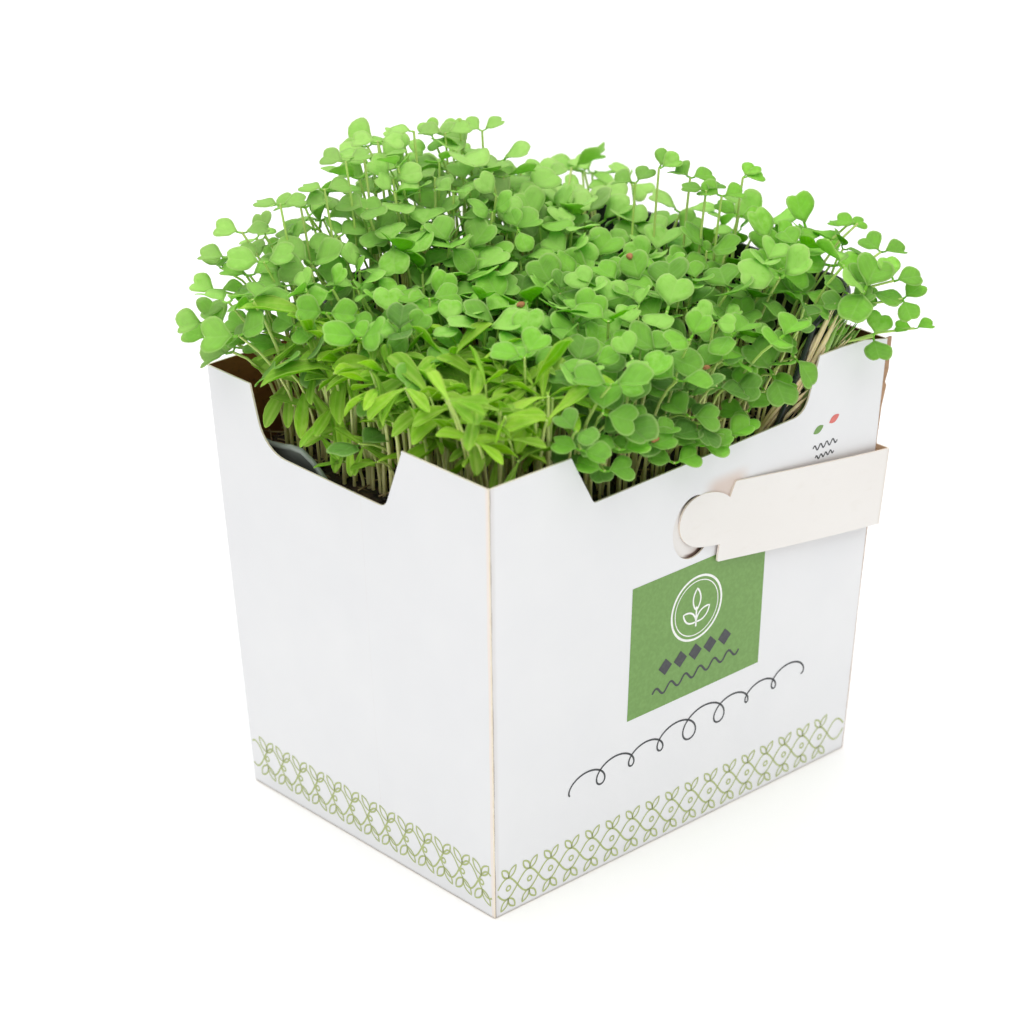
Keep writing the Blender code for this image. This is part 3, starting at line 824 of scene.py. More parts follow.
def on_strap(s, w):
    """Place a point of the unrolled strap round the corner."""
    across = Vector((math.sin(STRAP_SLOPE), 0.0, math.cos(STRAP_SLOPE)))
    leftward = Vector((-math.cos(STRAP_SLOPE), 0.0, math.sin(STRAP_SLOPE)))
    backward_y = Vector((0.0, 1.0, 0.0))
    arc = FOLD_RADIUS * math.pi / 4.0
    if abs(s) <= arc:
        angle = math.pi / 2.0 * (s + arc) / (2.0 * arc)
        hub = CREASE + (leftward + backward_y) * FOLD_RADIUS
        spoke = -backward_y * math.cos(angle) - leftward * math.sin(angle)
        return hub + spoke * FOLD_RADIUS + across * w
    if s < 0.0:
        run = -s - arc + FOLD_RADIUS
        place = CREASE + leftward * run + across * w
        shoulder_y = -wall_at(HALF_Y, SLOT_Z) - SHOULDER_PROUD
        place.y = CREASE.y + (shoulder_y - CREASE.y) * min(run / STRAP_FRONT, 1.0)
        place.y -= STRAP_SLACK * math.sin(math.pi * min(run / STRAP_FRONT, 1.0))
        place.y += TAB_TUCK * smooth(-s, STRAP_FRONT + TUCK_START, STRAP_FRONT + TUCK_END)
        return place
    run = s - arc + FOLD_RADIUS
    flat = Vector((WALL_INSET / HEIGHT, 0.0, 1.0)).normalized()
    gone = smooth(run, 0.0, STRAP_FREE)
    upright = across.lerp(flat, gone).normalized()
    on_side = wall_at(HALF_X, CREASE.z) + STRAP_BOARD / 2.0 + CLEARANCE + BOW * SIDE_BOW
    x = CREASE.x + (on_side - CREASE.x) * gone
    return Vector((x, CREASE.y + run, CREASE.z)) + upright * w


def cream_uncoated():
    """Uncoated cream board: soft fibres, a warm cast, darker towards the crease."""
    made, tree = start_material("cream_uncoated_board")
    axes = axis_values(tree)
    fibre = speckle(tree, 320.0, 5.0, (0.4, 0.4, 1.0))
    cloud = speckle(tree, 30.0, 2.0)
    base = blend(tree, cloud, (0.800, 0.772, 0.742), (0.838, 0.818, 0.796))
    base = blend(tree, spread(tree, fibre, 0.55, 0.8, 0.0, 0.15), base, (0.70, 0.65, 0.58))
    lean = times(tree, minus(tree, axes[2], CREASE.z), math.tan(STRAP_SLOPE))
    past = minus(tree, minus(tree, axes[0], CREASE.x), lean)
    # Darker towards the crease, on the front run only.
    crease_darkening = spread(tree, past, -0.0022, 0.0004, 0.0, 0.45)
    crease_darkening = times(tree, crease_darkening, spread(tree, axes[1], -0.0745, -0.0700, 1.0, 0.0))
    base = blend(tree, crease_darkening, base, (0.50, 0.36, 0.22))
    return dress(made, base, 0.82, bump(tree, fibre, 0.00012, 0.5))


bm = bmesh.new()
bm.faces.new([bm.verts.new((p.x, p.y, 0.0)) for p in strap_outline()])
arc = FOLD_RADIUS * math.pi / 4.0
bends = [-STRAP_FRONT - TUCK_END + 0.0018 * i for i in range(11)]
bends += [-STRAP_FRONT + STRAP_FRONT * i / 10 for i in range(10)]
bends += [arc * (i / 3.0 - 1.0) for i in range(7)]
bends += [STRAP_FREE * i / 10 for i in range(1, 11)]
for bend in bends:
    crease(bm, (bend, 0, 0), (1, 0, 0))
for part in range(1, 6):
    crease(bm, (0, STRAP_WIDTH * (part / 6.0 - 0.5), 0), (0, 1, 0))
for vert in bm.verts:
    vert.co = on_strap(vert.co.x, vert.co.y)
bm.normal_update()
if sum(face.normal.y * face.calc_area() for face in bm.faces) > 0.0:
    bmesh.ops.reverse_faces(bm, faces=bm.faces)
strap = new_object(
    "strap_board", bm, cream_uncoated(),
    kraft_board("strap_lining", (0.74, 0.52, 0.34), (0.62, 0.40, 0.24)),
    board_edge("strap_edge", (0.84, 0.72, 0.62), (0.92, 0.86, 0.80)))
thicken(strap, STRAP_BOARD, 0.0, use_even_offset=True, material_offset=1, material_offset_rim=2)
bake_modifiers(strap)
smooth_faces(strap)
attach(strap, "root")
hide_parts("strap")


# Liner: a thin cup drawn from dark plastic sheet, with a rolled lip. Its rim
# is cut low along the two near walls and stands over the board behind.
LINER_GAP = 0.0040
LINER_WALL = 0.0009
LINER_CORNER = 0.022
LINER_LOW = HEIGHT - 0.027
LINER_HIGH = HEIGHT + 0.019
LIP = 0.0011


def rounded_ring(half_x, half_y, radius, corner_steps=10, side_steps=16):
    """Points round a rectangle with round corners, anticlockwise from +X."""
    points = []
    flat_x = half_x - radius
    flat_y = half_y - radius
    centres = [(flat_x, flat_y), (-flat_x, flat_y), (-flat_x, -flat_y), (flat_x, -flat_y)]
    next_starts = [(-flat_x, half_y), (-half_x, -flat_y), (flat_x, -half_y), (half_x, flat_y)]
    for quarter in range(4):
        for step in range(corner_steps + 1):
            angle = math.radians(90.0 * (quarter + step / corner_steps))
            spoke = Vector((math.cos(angle), math.sin(angle))) * radius
            points.append(Vector(centres[quarter]) + spoke)
        last = points[-1]
        for part in range(1, side_steps):
            points.append(last.lerp(Vector(next_starts[quarter]), part / side_steps))
    return points


def cup_ring(z, inset):
    """The liner's plan at height z, moved in from the carton's board."""
    half_x = wall_at(HALF_X, z) - BOARD - inset
    half_y = wall_at(HALF_Y, z) - BOARD - inset
    return rounded_ring(half_x, half_y, LINER_CORNER - (inset - LINER_GAP))


def rim_height(x, y):
    """High along the two far walls, low along the two near ones."""
    along_back = smooth(x, -0.064, -0.042) * smooth(y, 0.020, 0.045)
    along_right = smooth(x, 0.040, 0.066)
    at_left = smooth(-x, 0.070, 0.088)
    left_lip = at_left * (0.0035 * smooth(y, 0.014, 0.030) - 0.0100 * smooth(-y, -0.022, -0.004))
    left_lip += at_left * 0.0030 * math.exp(-((y - 0.031) / 0.010) ** 2)
    corner_cut = -0.0190 * smooth(-x, 0.044, 0.060) * smooth(y, 0.052, 0.072)
    far_walls = (LINER_HIGH - LINER_LOW) * max(along_back, along_right)
    return LINER_LOW + left_lip + corner_cut + far_walls


def dark_plastic():
    """Glossy dark grey-green sheet with soft draw marks and dust."""
    made, tree = start_material("dark_plastic_sheet")
    dust = spread(tree, speckle(tree, 520.0, 4.0), 0.58, 0.8, 0.0, 0.35)
    base = blend(tree, dust, (0.022, 0.032, 0.027), (0.16, 0.175, 0.15))
    # Lighter towards the left end.
    left_end_lightening = spread(tree, axis_values(tree)[0], -0.088, -0.080, 0.85, 0.0)
    base = blend(tree, left_end_lightening, base, (0.330, 0.375, 0.335))
    gloss = spread(tree, speckle(tree, 45.0, 2.0), 0.3, 0.7, 0.16, 0.30)
    return dress(made, base, gloss, bump(tree, speckle(tree, 60.0, 1.0), 0.0008, 0.25))


# The lip's section: inset from the outer face, and height over the rim's line.
LIP_ROOT = 0.0022
LIP_SECTION = [(0.0, -LIP_ROOT), (-0.0006, -0.0016), (-LIP, -0.0006), (-0.0007, 0.0003),
               (0.0002, 0.0006), (LINER_WALL, 0.0001), (LINER_WALL, -0.0020)]
rim_plan = cup_ring(LINER_LOW, LINER_GAP)
rim_line = [rim_height(p.x, p.y) for p in rim_plan]
floor_z = BOARD + CLEARANCE
rings = [[(p.x, p.y, floor_z) for p in cup_ring(floor_z, LINER_GAP)]]
for share in (0.35, 0.7):
    ring = []
    for i, rim_z in enumerate(rim_line):
        z = floor_z + (rim_z - LIP_ROOT - floor_z) * share
        p = cup_ring(z, LINER_GAP)[i]
        ring.append((p.x, p.y, z))
    rings.append(ring)
for inset, lift in LIP_SECTION:
    ring = []
    for i, rim_z in enumerate(rim_line):
        p = cup_ring(rim_z, LINER_GAP + inset)[i]
        ring.append((p.x, p.y, rim_z + lift))
    rings.append(ring)
inner_z = floor_z + LINER_WALL
rings.append([(p.x, p.y, inner_z) for p in cup_ring(inner_z, LINER_GAP + LINER_WALL)])
bm = bmesh.new()
loft(bm, rings)
bmesh.ops.recalc_face_normals(bm, faces=bm.faces)
liner = new_object("liner_cup", bm, dark_plastic())
smooth_faces(liner, 60.0)
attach(liner, "root")
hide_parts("liner")


# Growing medium: dark moist peat and coir that fills the liner, crumbly on
# top, with a litter of crumbs and pale straws between the stems.
SOIL_FRONT = HEIGHT - 0.0345
SOIL_BACK = HEIGHT - 0.018
TOP_LAYER = 0.0038
EDGE_DROP = 0.0012           # the soil rounds off by this much at the liner
SOIL_INSET = LINER_GAP + LINER_WALL + CLEARANCE
CRUMBS = 1500
STRAWS = 420


def soil_top(x, y):
    """The crumbly surface that the stems come out of."""
    part = (y + HALF_Y) / (2.0 * HALF_Y)
    part *= smooth(x, -0.066, -0.034)
    plane = SOIL_FRONT + (SOIL_BACK - SOIL_FRONT) * part + TOP_LAYER
    coarse = noise.noise(Vector((x, y, 0.0)) * 90.0) * 0.0016
    fine = noise.noise(Vector((x, y, 3.0)) * 330.0) * 0.0009
    return plane + coarse + fine


def crumbly_soil():
    """Dark brown crumbs with lighter fibres and a wet sheen in the hollows."""
    made, tree = start_material("crumbly_soil")
    lump = speckle(tree, 260.0, 6.0)
    fibre = spread(tree, speckle(tree, 420.0, 4.0, (1.0, 0.25, 1.0)), 0.60, 0.72)
    base = blend(tree, spread(tree, lump, 0.35, 0.7), (0.008, 0.005, 0.003), (0.060, 0.034, 0.018))
    base = blend(tree, times(tree, fibre, 0.6), base, (0.27, 0.17, 0.085))
    gloss = spread(tree, lump, 0.3, 0.6, 0.55, 0.95)
    return dress(made, base, gloss, bump(tree, lump, 0.0015, 0.9))


def straw_material():
    """Dry pale straw and husk bits, from cream to brown."""
    made, tree = start_material("dry_straw")
    tone = speckle(tree, 130.0, 2.0)
    base = blend(tree, spread(tree, tone, 0.35, 0.65), (0.20, 0.115, 0.05), (0.60, 0.46, 0.25))
    return dress(made, base, 0.75)


SOIL = crumbly_soil()
bm = bmesh.new()
soil_floor = floor_z + LINER_WALL + CLEARANCE
edge = cup_ring(SOIL_FRONT, SOIL_INSET)
rings = [[(p.x, p.y, soil_floor) for p in cup_ring(soil_floor, SOIL_INSET)]]
for share in [1.0, 0.985] + [0.96 - 0.04 * i for i in range(24)]:
    ring = []
    for p in edge:
        x, y = p.x * share, p.y * share
        ring.append((x, y, soil_top(x, y) - (EDGE_DROP if share == 1.0 else 0.0)))
    rings.append(ring)
loft(bm, rings)
bmesh.ops.recalc_face_normals(bm, faces=bm.faces)
soil = new_object("soil_body", bm, SOIL)
soil.data.shade_smooth()
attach(soil, "root")
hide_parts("soil")


def geometry_tree(name, inputs):
    """A Geometry Nodes tree with a Geometry input and output and named inputs."""
    tree = bpy.data.node_groups.new(name, "GeometryNodeTree")
    tree.interface.new_socket("Geometry", in_out="INPUT", socket_type="NodeSocketGeometry")
    tree.interface.new_socket("Geometry", in_out="OUTPUT", socket_type="NodeSocketGeometry")
    for label, kind in inputs:
        tree.interface.new_socket(label, in_out="INPUT", socket_type=kind)
    return tree, tree.nodes.new("NodeGroupInput"), tree.nodes.new("NodeGroupOutput")


def attribute(tree, name, kind):
    made = node(tree, "GeometryNodeInputNamedAttribute", {"Name": name}, data_type=kind)
    return next(out for out in made.outputs if out.enabled and out.name == "Attribute")


def run_tree(target, tree, **inputs):
    """Put a tree on an object with its inputs set, and keep the plain mesh."""
    modifier = target.modifiers.new(tree.name, "NODES")
    modifier.node_group = tree
    for item in tree.interface.items_tree:
        if item.item_type == "SOCKET" and item.in_out == "INPUT" and item.name in inputs:
            modifier[item.identifier] = inputs[item.name]
    target.update_tag()
    bake_modifiers(target)


def write_attribute(mesh, key, data):
    kind = {bool: "BOOLEAN", int: "INT", float: "FLOAT"}.get(type(data[0]), "FLOAT_VECTOR")
    written = mesh.attributes.new(key, kind, "POINT").data
    if kind == "FLOAT_VECTOR":
        written.foreach_set("vector", [c for vector in data for c in vector])
    else:
        written.foreach_set("value", data)


def point_cloud(name, places, edges=(), **values):
    """A mesh of points, and edges if any, with a value or a vector for each point."""
    mesh = bpy.data.meshes.new(name)
    mesh.from_pydata(places, edges, [])
    for key, data in values.items():
        write_attribute(mesh, key, data)
    made = bpy.data.objects.new(name, mesh)
    bpy.context.scene.collection.objects.link(made)
    return made


def set_shapes(tree, source, shapes, finish, size_kind, **inputs):
    """Set the shapes of a collection on points, each picked, turned and sized by
    the point's own values, and give them their finish."""
    picked = node(tree, "GeometryNodeCollectionInfo", {
        "Collection": source.outputs[shapes], "Separate Children": True, "Reset Children": True})
    turn = node(tree, "FunctionNodeEulerToRotation", {0: attribute(tree, "turn", "FLOAT_VECTOR")})
    placed = node(tree, "GeometryNodeInstanceOnPoints", {
        "Points": source.outputs["Geometry"], "Instance": picked.outputs[0],
        "Pick Instance": True, "Instance Index": attribute(tree, "shape", "INT"),
        "Rotation": turn.outputs[0], "Scale": attribute(tree, "size", size_kind), **inputs})
    real = node(tree, "GeometryNodeRealizeInstances", {0: placed.outputs[0]})
    return node(tree, "GeometryNodeSetMaterial", {
        "Geometry": real.outputs[0], "Material": source.outputs[finish]}).outputs[0]


def litter_tree():
    """Scatter crumbs or straws on points."""
    tree, source, result = geometry_tree("litter", [
        ("Shapes", "NodeSocketCollection"), ("Finish", "NodeSocketMaterial")])
    laid = set_shapes(tree, source, "Shapes", "Finish", "FLOAT_VECTOR")
    tree.links.new(laid, result.inputs[0])
    return tree


LITTER = litter_tree()


def shape_collection(name, builders):
    """A hidden collection of shapes for a tree to pick from."""
    kept = bpy.data.collections.new(name)
    for i, build in enumerate(builders):
        bm = build()
        mesh = bpy.data.meshes.new(f"{name}_{i:02d}")
        bm.to_mesh(mesh)
        bm.free()
        mesh.shade_smooth()
        kept.objects.link(bpy.data.objects.new(f"{name}_{i:02d}", mesh))
    return kept


def crumb(seed):
    def build():
        bm = bmesh.new()
        bmesh.ops.create_icosphere(bm, subdivisions=1, radius=1.0)
        for vert in bm.verts:
            vert.co *= 0.8 + 0.45 * noise.noise(vert.co * 1.7 + Vector((seed * 7.1, 0.0, 0.0)))
        return bm
    return build


def straw(bend):
    def build():
        bm = bmesh.new()
        bmesh.ops.create_cone(bm, segments=5, radius1=0.06, radius2=0.045, depth=2.0,
                              cap_ends=True)
        for cut in (-0.4, 0.2):
            crease(bm, (0, 0, cut), (0, 0, 1))
        for vert in bm.verts:
            x, y, z = vert.co
            vert.co = Vector((z, y, x + bend * (1.0 - z * z)))
        bmesh.ops.recalc_face_normals(bm, faces=bm.faces)
        return bm
    return build


litter_rng = random.Random(21)


def scattered(count, lift):
    places = []
    for _ in range(count):
        p = litter_rng.choice(edge)
        share = math.sqrt(litter_rng.uniform(0.0, 0.96))
        x, y = p.x * share, p.y * share
        places.append((x, y, soil_top(x, y) + lift))
    return places


def random_turns(count, tilt):
    return [(litter_rng.uniform(-tilt, tilt), litter_rng.uniform(-tilt, tilt),
             litter_rng.uniform(0.0, math.tau)) for _ in range(count)]


def lay_litter(name, sizes, lift, tilt, shapes, finish):
    """Strew bits of these sizes on the soil, lifted and tilted a little."""
    count, kinds = len(sizes), len(shapes.objects)
    piece = point_cloud(name, scattered(count, lift), turn=random_turns(count, tilt), size=sizes,
                        shape=[i % kinds for i in range(count)])
    run_tree(piece, LITTER, Shapes=shapes, Finish=finish)
    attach(piece, "root")


crumb_sizes = []
for _ in range(CRUMBS):
    s = 0.0004 + 0.0011 * litter_rng.random() ** 2
    crumb_sizes.append((s, s * litter_rng.uniform(0.7, 1.2), s * litter_rng.uniform(0.6, 1.0)))
crumb_shapes = shape_collection("crumb_shape", [crumb(i) for i in range(4)])
lay_litter("soil_crumbs", crumb_sizes, 0.0002, 3.0, crumb_shapes, SOIL)
straw_sizes = [(litter_rng.uniform(0.0025, 0.0085), 0.006, 0.006) for _ in range(STRAWS)]
straw_shapes = shape_collection("straw_shape", [straw(b) for b in (0.05, 0.12, -0.06)])
lay_litter("soil_straws", straw_sizes, 0.0006, 0.25, straw_shapes, straw_material())


# Round-leaved sprouts: bare pale stems, each with a pair of broad seed leaves,
# notched at the tip and joined by short stalks. They are sown thick and lean
# to the light and out over the rim.
ROOT_SPACING = 0.0060
ROUND_LEAF = 0.0108
LEAF_THICK = 0.00024
# FAR_PALE is a painted back-light glow on the leaves at the back.
FAR_PALE = 0.40              # how much paler the leaves at the back are
LEAF_SPOKES = 24
STEM_FOOT = 0.00066
STEM_TOP = 0.00048
LEAF_SPACE = 0.0058          # least distance between two leaves' middles
CANOPY = 0.025
CANOPY_HUMP = 0.036
CANOPY_RIGHT = 0.012
OVERHANG = 0.013
TO_LIGHT = Vector((-0.62, -0.70, 0.0))
STEM_POINTS = 7
ROOT_DEPTH = 0.001           # a stem's foot, under the soil's top
STEM_SIDES = 6
ROUND_TRIES = 9              # layouts tried before a root stays bare
ROUND_KINDS = 8              # shapes of leaf to pick from
LANCE_KINDS = 5
STALK = 0.16                 # the leaf stalk, in leaf lengths

# A seed leaf's outline: degrees from its tip, and reach from its middle.
SEED_LEAF = [(0, 0.330), (15, 0.415), (30, 0.500), (50, 0.530), (75, 0.505), (90, 0.485),
             (110, 0.445), (130, 0.400), (150, 0.390), (165, 0.420), (180, 0.500)]


def reach_at(outline, degrees):
    """Read an outline of (degrees, reach) pairs between its points."""
    for (low, near), (high, far) in zip(outline, outline[1:]):
        if degrees <= high:
            part = (degrees - low) / (high - low)
            return near + (far - near) * (part * part * (3.0 - 2.0 * part))
    return outline[-1][1]


def seed_leaf(notch, arch, cup, twist, wide, fold=0.0):
    """A seed leaf of unit length from its stalk at the origin along +X."""
    def build():
        bm = bmesh.new()
        half = LEAF_SPOKES // 2
        spokes = [180.0 * i / half for i in range(-half + 1, half + 1)]
        layer = bm.verts.layers.float_vector.new("blade")
        centre = bm.verts.new((STALK + 0.5, 0.0, 0.0))
        centre[layer] = Vector((0.5, 0.0, 0.0))
        previous = None
        for share in (0.55, 1.0):
            row = []
            for degrees in spokes:
                reach = reach_at(SEED_LEAF, abs(degrees))
                reach += notch * max(0.0, 1.0 - abs(degrees) / 32.0)
                angle = math.radians(degrees)
                u = 0.5 + reach * share * math.cos(angle)
                v = reach * share * math.sin(angle) * wide
                row.append(bm.verts.new((STALK + u, v, 0.0)))
                row[-1][layer] = Vector((u, v, share))
            for i in range(len(row)):
                j = (i + 1) % len(row)
                if previous is None:
                    bm.faces.new((centre, row[i], row[j]))
                else:
                    bm.faces.new((previous[i], row[i], row[j], previous[j]))
            previous = row
        return finished_leaf(bm, layer, arch, cup, twist, 0.046, fold)
    return build


def finished_leaf(bm, layer, arch, cup, twist, stalk=0.0, fold=0.0, length=ROUND_LEAF):
    """Thicken a flat leaf, add the stalk from the origin to the blade and bend
    it. Each point keeps its place on the flat blade: along, across, and 0 in
    the middle to 1 at the rim, with 2 added on the underside."""
    bmesh.ops.recalc_face_normals(bm, faces=bm.faces)
    if sum(face.normal.z for face in bm.faces) < 0.0:
        bmesh.ops.reverse_faces(bm, faces=bm.faces)
    start = STALK if stalk else 0.0
    top = {(round(v.co.x, 5), round(v.co.y, 5)): v[layer].copy() for v in bm.verts}
    made = bmesh.ops.solidify(bm, geom=bm.faces[:], thickness=-LEAF_THICK / length)
    for vert in [g for g in made["geom"] if isinstance(g, bmesh.types.BMVert)]:
        above = min(top, key=lambda k: abs(k[0] - vert.co.x) + abs(k[1] - vert.co.y))
        vert[layer] = top[above] + Vector((0.0, 0.0, 2.0))
    if stalk:
        angles = [math.tau * corner / 5 for corner in range(5)]
        loft(bm, [[((STALK + 0.06) * share, stalk * (0.8 + 0.5 * (1.0 - share)) * math.cos(a),
                    stalk * 0.8 * math.sin(a) - 0.02) for a in angles]
                  for share in (0.0, 0.35, 0.7, 1.0)])
    for vert in bm.verts:
        u, v, w = vert.co
        lift = cup * v * v * 2.0 + fold * abs(v) - arch * u * u - 0.03 * math.exp(-(v / 0.08) ** 2)
        blade = smooth(u, start - 0.1, start + 0.3)
        lift += twist * u * v + 0.025 * math.sin(8.0 * u + 5.0 * v) * blade
        vert.co.z = w + lift
    bmesh.ops.recalc_face_normals(bm, faces=bm.faces)
    return bm


def leaf_surface(name, deep, fresh, cool, pale, through, ribs):
    """Living leaf: darker by its tint, paler along veins and underside, with a
    painted highlight along the edge and on the brightest leaves, painted
    back-light glow towards the back, a waxy sheen, and lit through from behind."""
    made, tree = start_material(name)
    place = node(tree, "ShaderNodeAttribute", attribute_name="blade").outputs["Vector"]
    u, v, depth = node(tree, "ShaderNodeSeparateXYZ", {0: place}).outputs
    under = sum_of(tree, "GREATER_THAN", depth, 1.5)
    rim = minus(tree, depth, times(tree, under, 2.0))
    tint = node(tree, "ShaderNodeAttribute", attribute_name="tint").outputs["Fac"]
    side = sum_of(tree, "ABSOLUTE", v)
    mottle = speckle(tree, 420.0, 4.0)
    tone = plus(tree, tint, times(tree, minus(tree, mottle, 0.5), 0.5), True)
    clump = spread(tree, speckle(tree, 26.0, 2.0), 0.38, 0.62)
    base = blend(tree, tone, deep, blend(tree, clump, fresh, cool))
    # Painted highlight: the brightest leaves turn pale.
    base = blend(tree, spread(tree, tone, 0.82, 1.0, 0.0, 0.30), base, pale)
    # Painted back-light glow: leaves further back turn paler.
    axes = axis_values(tree)
    depth_in = plus(tree, times(tree, axes[0], 0.25), axes[1])
    base = blend(tree, spread(tree, depth_in, 0.000, 0.060, 0.0, FAR_PALE), base, pale)
    midrib = spread(tree, side, 0.0, 0.05, 1.0, 0.0)
    if ribs:
        branch = sum_of(tree, "SINE", times(tree, side, 95.0))
    else:
        slant = minus(tree, u, times(tree, side, 0.75))
        branch = sum_of(tree, "SINE", times(tree, slant, 34.0))
    branch = spread(tree, branch, 0.72, 1.0, 0.0, 0.55)
    veins = sum_of(tree, "MAXIMUM", midrib, branch)
    base = blend(tree, times(tree, veins, 0.34 if ribs else 0.13), base, pale)
    # Painted highlight along each leaf's rim.
    base = blend(tree, spread(tree, rim, 0.84, 1.0, 0.0, 0.50), base, pale)
    base = blend(tree, times(tree, under, 0.22), base, pale)
    gloss = spread(tree, mottle, 0.3, 0.7, 0.34, 0.50)
    height = minus(tree, mottle, times(tree, veins, 0.9))
    dress(made, base, gloss, bump(tree, height, 0.00022, 0.5), Specular_IOR_Level=0.10)
    glow = node(tree, "ShaderNodeBsdfTranslucent", {"Color": blend(tree, 0.5, base, through)})
    solid = tree.nodes["Principled BSDF"]
    mix = node(tree, "ShaderNodeMixShader", {0: 0.38, 1: solid.outputs[0], 2: glow.outputs[0]})
    tree.links.new(mix.outputs[0], tree.nodes["Material Output"].inputs["Surface"])
    return made


def stem_surface(name, upper, lower):
    """Juicy pale stem, greener near the leaves and browner at the soil."""
    made, tree = start_material(name)
    height = node(tree, "ShaderNodeAttribute", attribute_name="height").outputs["Fac"]
    tint = node(tree, "ShaderNodeAttribute", attribute_name="tint").outputs["Fac"]
    base = blend(tree, spread(tree, height, 0.15, 0.9), lower, upper)
    base = blend(tree, times(tree, tint, 0.3), base, (0.66, 0.60, 0.28))
    foot = spread(tree, height, 0.0, 0.12, 0.45, 0.0)
    base = blend(tree, foot, base, (0.26, 0.15, 0.06))
    return dress(made, base, 0.38, Subsurface_Weight=0.25, Subsurface_Radius=(0.9, 1.0, 0.4),
                 Subsurface_Scale=0.0012)


def sprout_tree():
    """Grow round stems along the edges of the mesh and set leaves on its loose
    points, each turned, sized and shaped by its own values."""
    tree, source, result = geometry_tree("sprouts", [
        ("Leaf Shapes", "NodeSocketCollection"), ("Stem Sides", "NodeSocketInt"),
        ("Leaf Finish", "NodeSocketMaterial"), ("Stem Finish", "NodeSocketMaterial")])
    lines = node(tree, "GeometryNodeMeshToCurve", {0: source.outputs["Geometry"]})
    sized = node(tree, "GeometryNodeSetCurveRadius", {
        "Curve": lines.outputs[0], "Radius": attribute(tree, "radius", "FLOAT")})
    section = node(tree, "GeometryNodeCurvePrimitiveCircle", {
        "Resolution": source.outputs["Stem Sides"], "Radius": 1.0})
    tubes = node(tree, "GeometryNodeCurveToMesh", {
        "Curve": sized.outputs[0], "Profile Curve": section.outputs[0], "Fill Caps": True,
        "Scale": attribute(tree, "radius", "FLOAT")})
    stems = node(tree, "GeometryNodeSetMaterial", {
        "Geometry": tubes.outputs[0], "Material": source.outputs["Stem Finish"]})
    leaves = set_shapes(tree, source, "Leaf Shapes", "Leaf Finish", "FLOAT",
                        Selection=attribute(tree, "is_leaf", "BOOLEAN"))
    joined = tree.nodes.new("GeometryNodeJoinGeometry")
    tree.links.new(stems.outputs[0], joined.inputs[0])
    tree.links.new(leaves, joined.inputs[0])
    smoothed = node(tree, "GeometryNodeSetShadeSmooth", {"Geometry": joined.outputs[0]})
    tree.links.new(smoothed.outputs[0], result.inputs[0])
    return tree


class Stand:
    """The points, edges and values of one stand's sprouts."""

    START = {"radius": 0.0, "height": 0.0, "tint": 0.5, "size": 1.0,
             "turn": (0.0, 0.0, 0.0), "shape": 0, "is_leaf": False}

    def __init__(self):
        self.places = []
        self.edges = []
        self.values = {key: [] for key in self.START}

    def add_point(self, place, **given):
        self.places.append(tuple(place))
        for key, value in {**self.START, **given}.items():
            self.values[key].append(value)

    def add_stem(self, foot, knee, crown, wide, tint):
        for i in range(STEM_POINTS):
            t = i / (STEM_POINTS - 1)
            place = foot * (1 - t) ** 2 + knee * 2 * t * (1 - t) + crown * t ** 2
            radius = (STEM_FOOT + (STEM_TOP - STEM_FOOT) * t) * wide
            self.add_point(place, radius=radius, height=t, tint=tint)
            if i:
                self.edges.append((len(self.places) - 2, len(self.places) - 1))

    def add_leaves(self, crown, leaves, tint, kinds, rng):
        """Set (turn, length) leaves on a crown, each of one of so many kinds."""
        for turn, own in leaves:
            self.add_point(crown, size=own, tint=tint, turn=turn.to_euler(),
                           shape=rng.randrange(kinds), is_leaf=True)

    def make(self, name, tree, **inputs):
        """The stand as a plain mesh that keeps its tint and height values."""
        made = point_cloud(name, self.places, self.edges, **self.values)
        run_tree(made, tree, **inputs)
        for key in ("radius", "turn", "shape", "is_leaf", "size"):
            kept = made.data.attributes.get(key)
            if kept:
                made.data.attributes.remove(kept)
        return made


# The crest of the canopy along its back edge: x in millimetres, and its share.
CREST = [(-120, 0.0), (-92, 0.02), (-80, 0.28), (-60, 0.36), (-44, 0.50), (-30, 0.80),
         (-16, 1.0), (2, 0.97), (16, 0.88), (26, 0.56), (36, 0.24), (52, 0.20), (66, 0.16),
         (80, 0.06), (120, 0.0)]


def crown_height(x, y):
    """Height of the canopy: a crest at the back left, a swell at the right."""
    hump = reach_at(CREST, x * 1000.0) * smooth(y, 0.000, 0.055)
    right = math.exp(-((x - 0.096) / 0.036) ** 2 - ((y + 0.055) / 0.036) ** 2)
    return HEIGHT + CANOPY + CANOPY_HUMP * hump + CANOPY_RIGHT * right


ROOM_X = wall_at(HALF_X, SOIL_FRONT) - BOARD - LINER_GAP - 0.005
ROOM_Y = wall_at(HALF_Y, SOIL_FRONT) - BOARD - LINER_GAP - 0.005
ROOM_CORNER = 0.016
STANDS = {
    "greens_lance": (-0.100, -0.040, -0.080, 0.030),
    "greens_back": (-0.100, 0.100, 0.030, 0.080),
    "greens_front": (-0.040, 0.100, -0.080, -0.020),
    "greens_middle": (-0.040, 0.100, -0.020, 0.030),
}


def stand_of(x, y, rng):
    """The stand that a root belongs to; the lance stand's border is ragged."""
    ragged = rng.choice((0.0, 0.0, 0.0, 0.012, 0.026)) if y > -0.065 else 0.0
    x_read = x + ragged if x < -0.040 else x
    for name, (low_x, high_x, low_y, high_y) in STANDS.items():
        if low_x <= x_read < high_x and low_y <= y < high_y:
            return name


HALF_LEAF_IN = 0.0085        # a leaf's middle keeps this far inside a wall
HALF_LEAF_OUT = 0.0070       # or outside it, unless it is over the rim
OVER_RIM = 0.003
OVER_LINER = 0.006
INTO_NOTCH = 0.013
UNDER_CROWN = 0.002


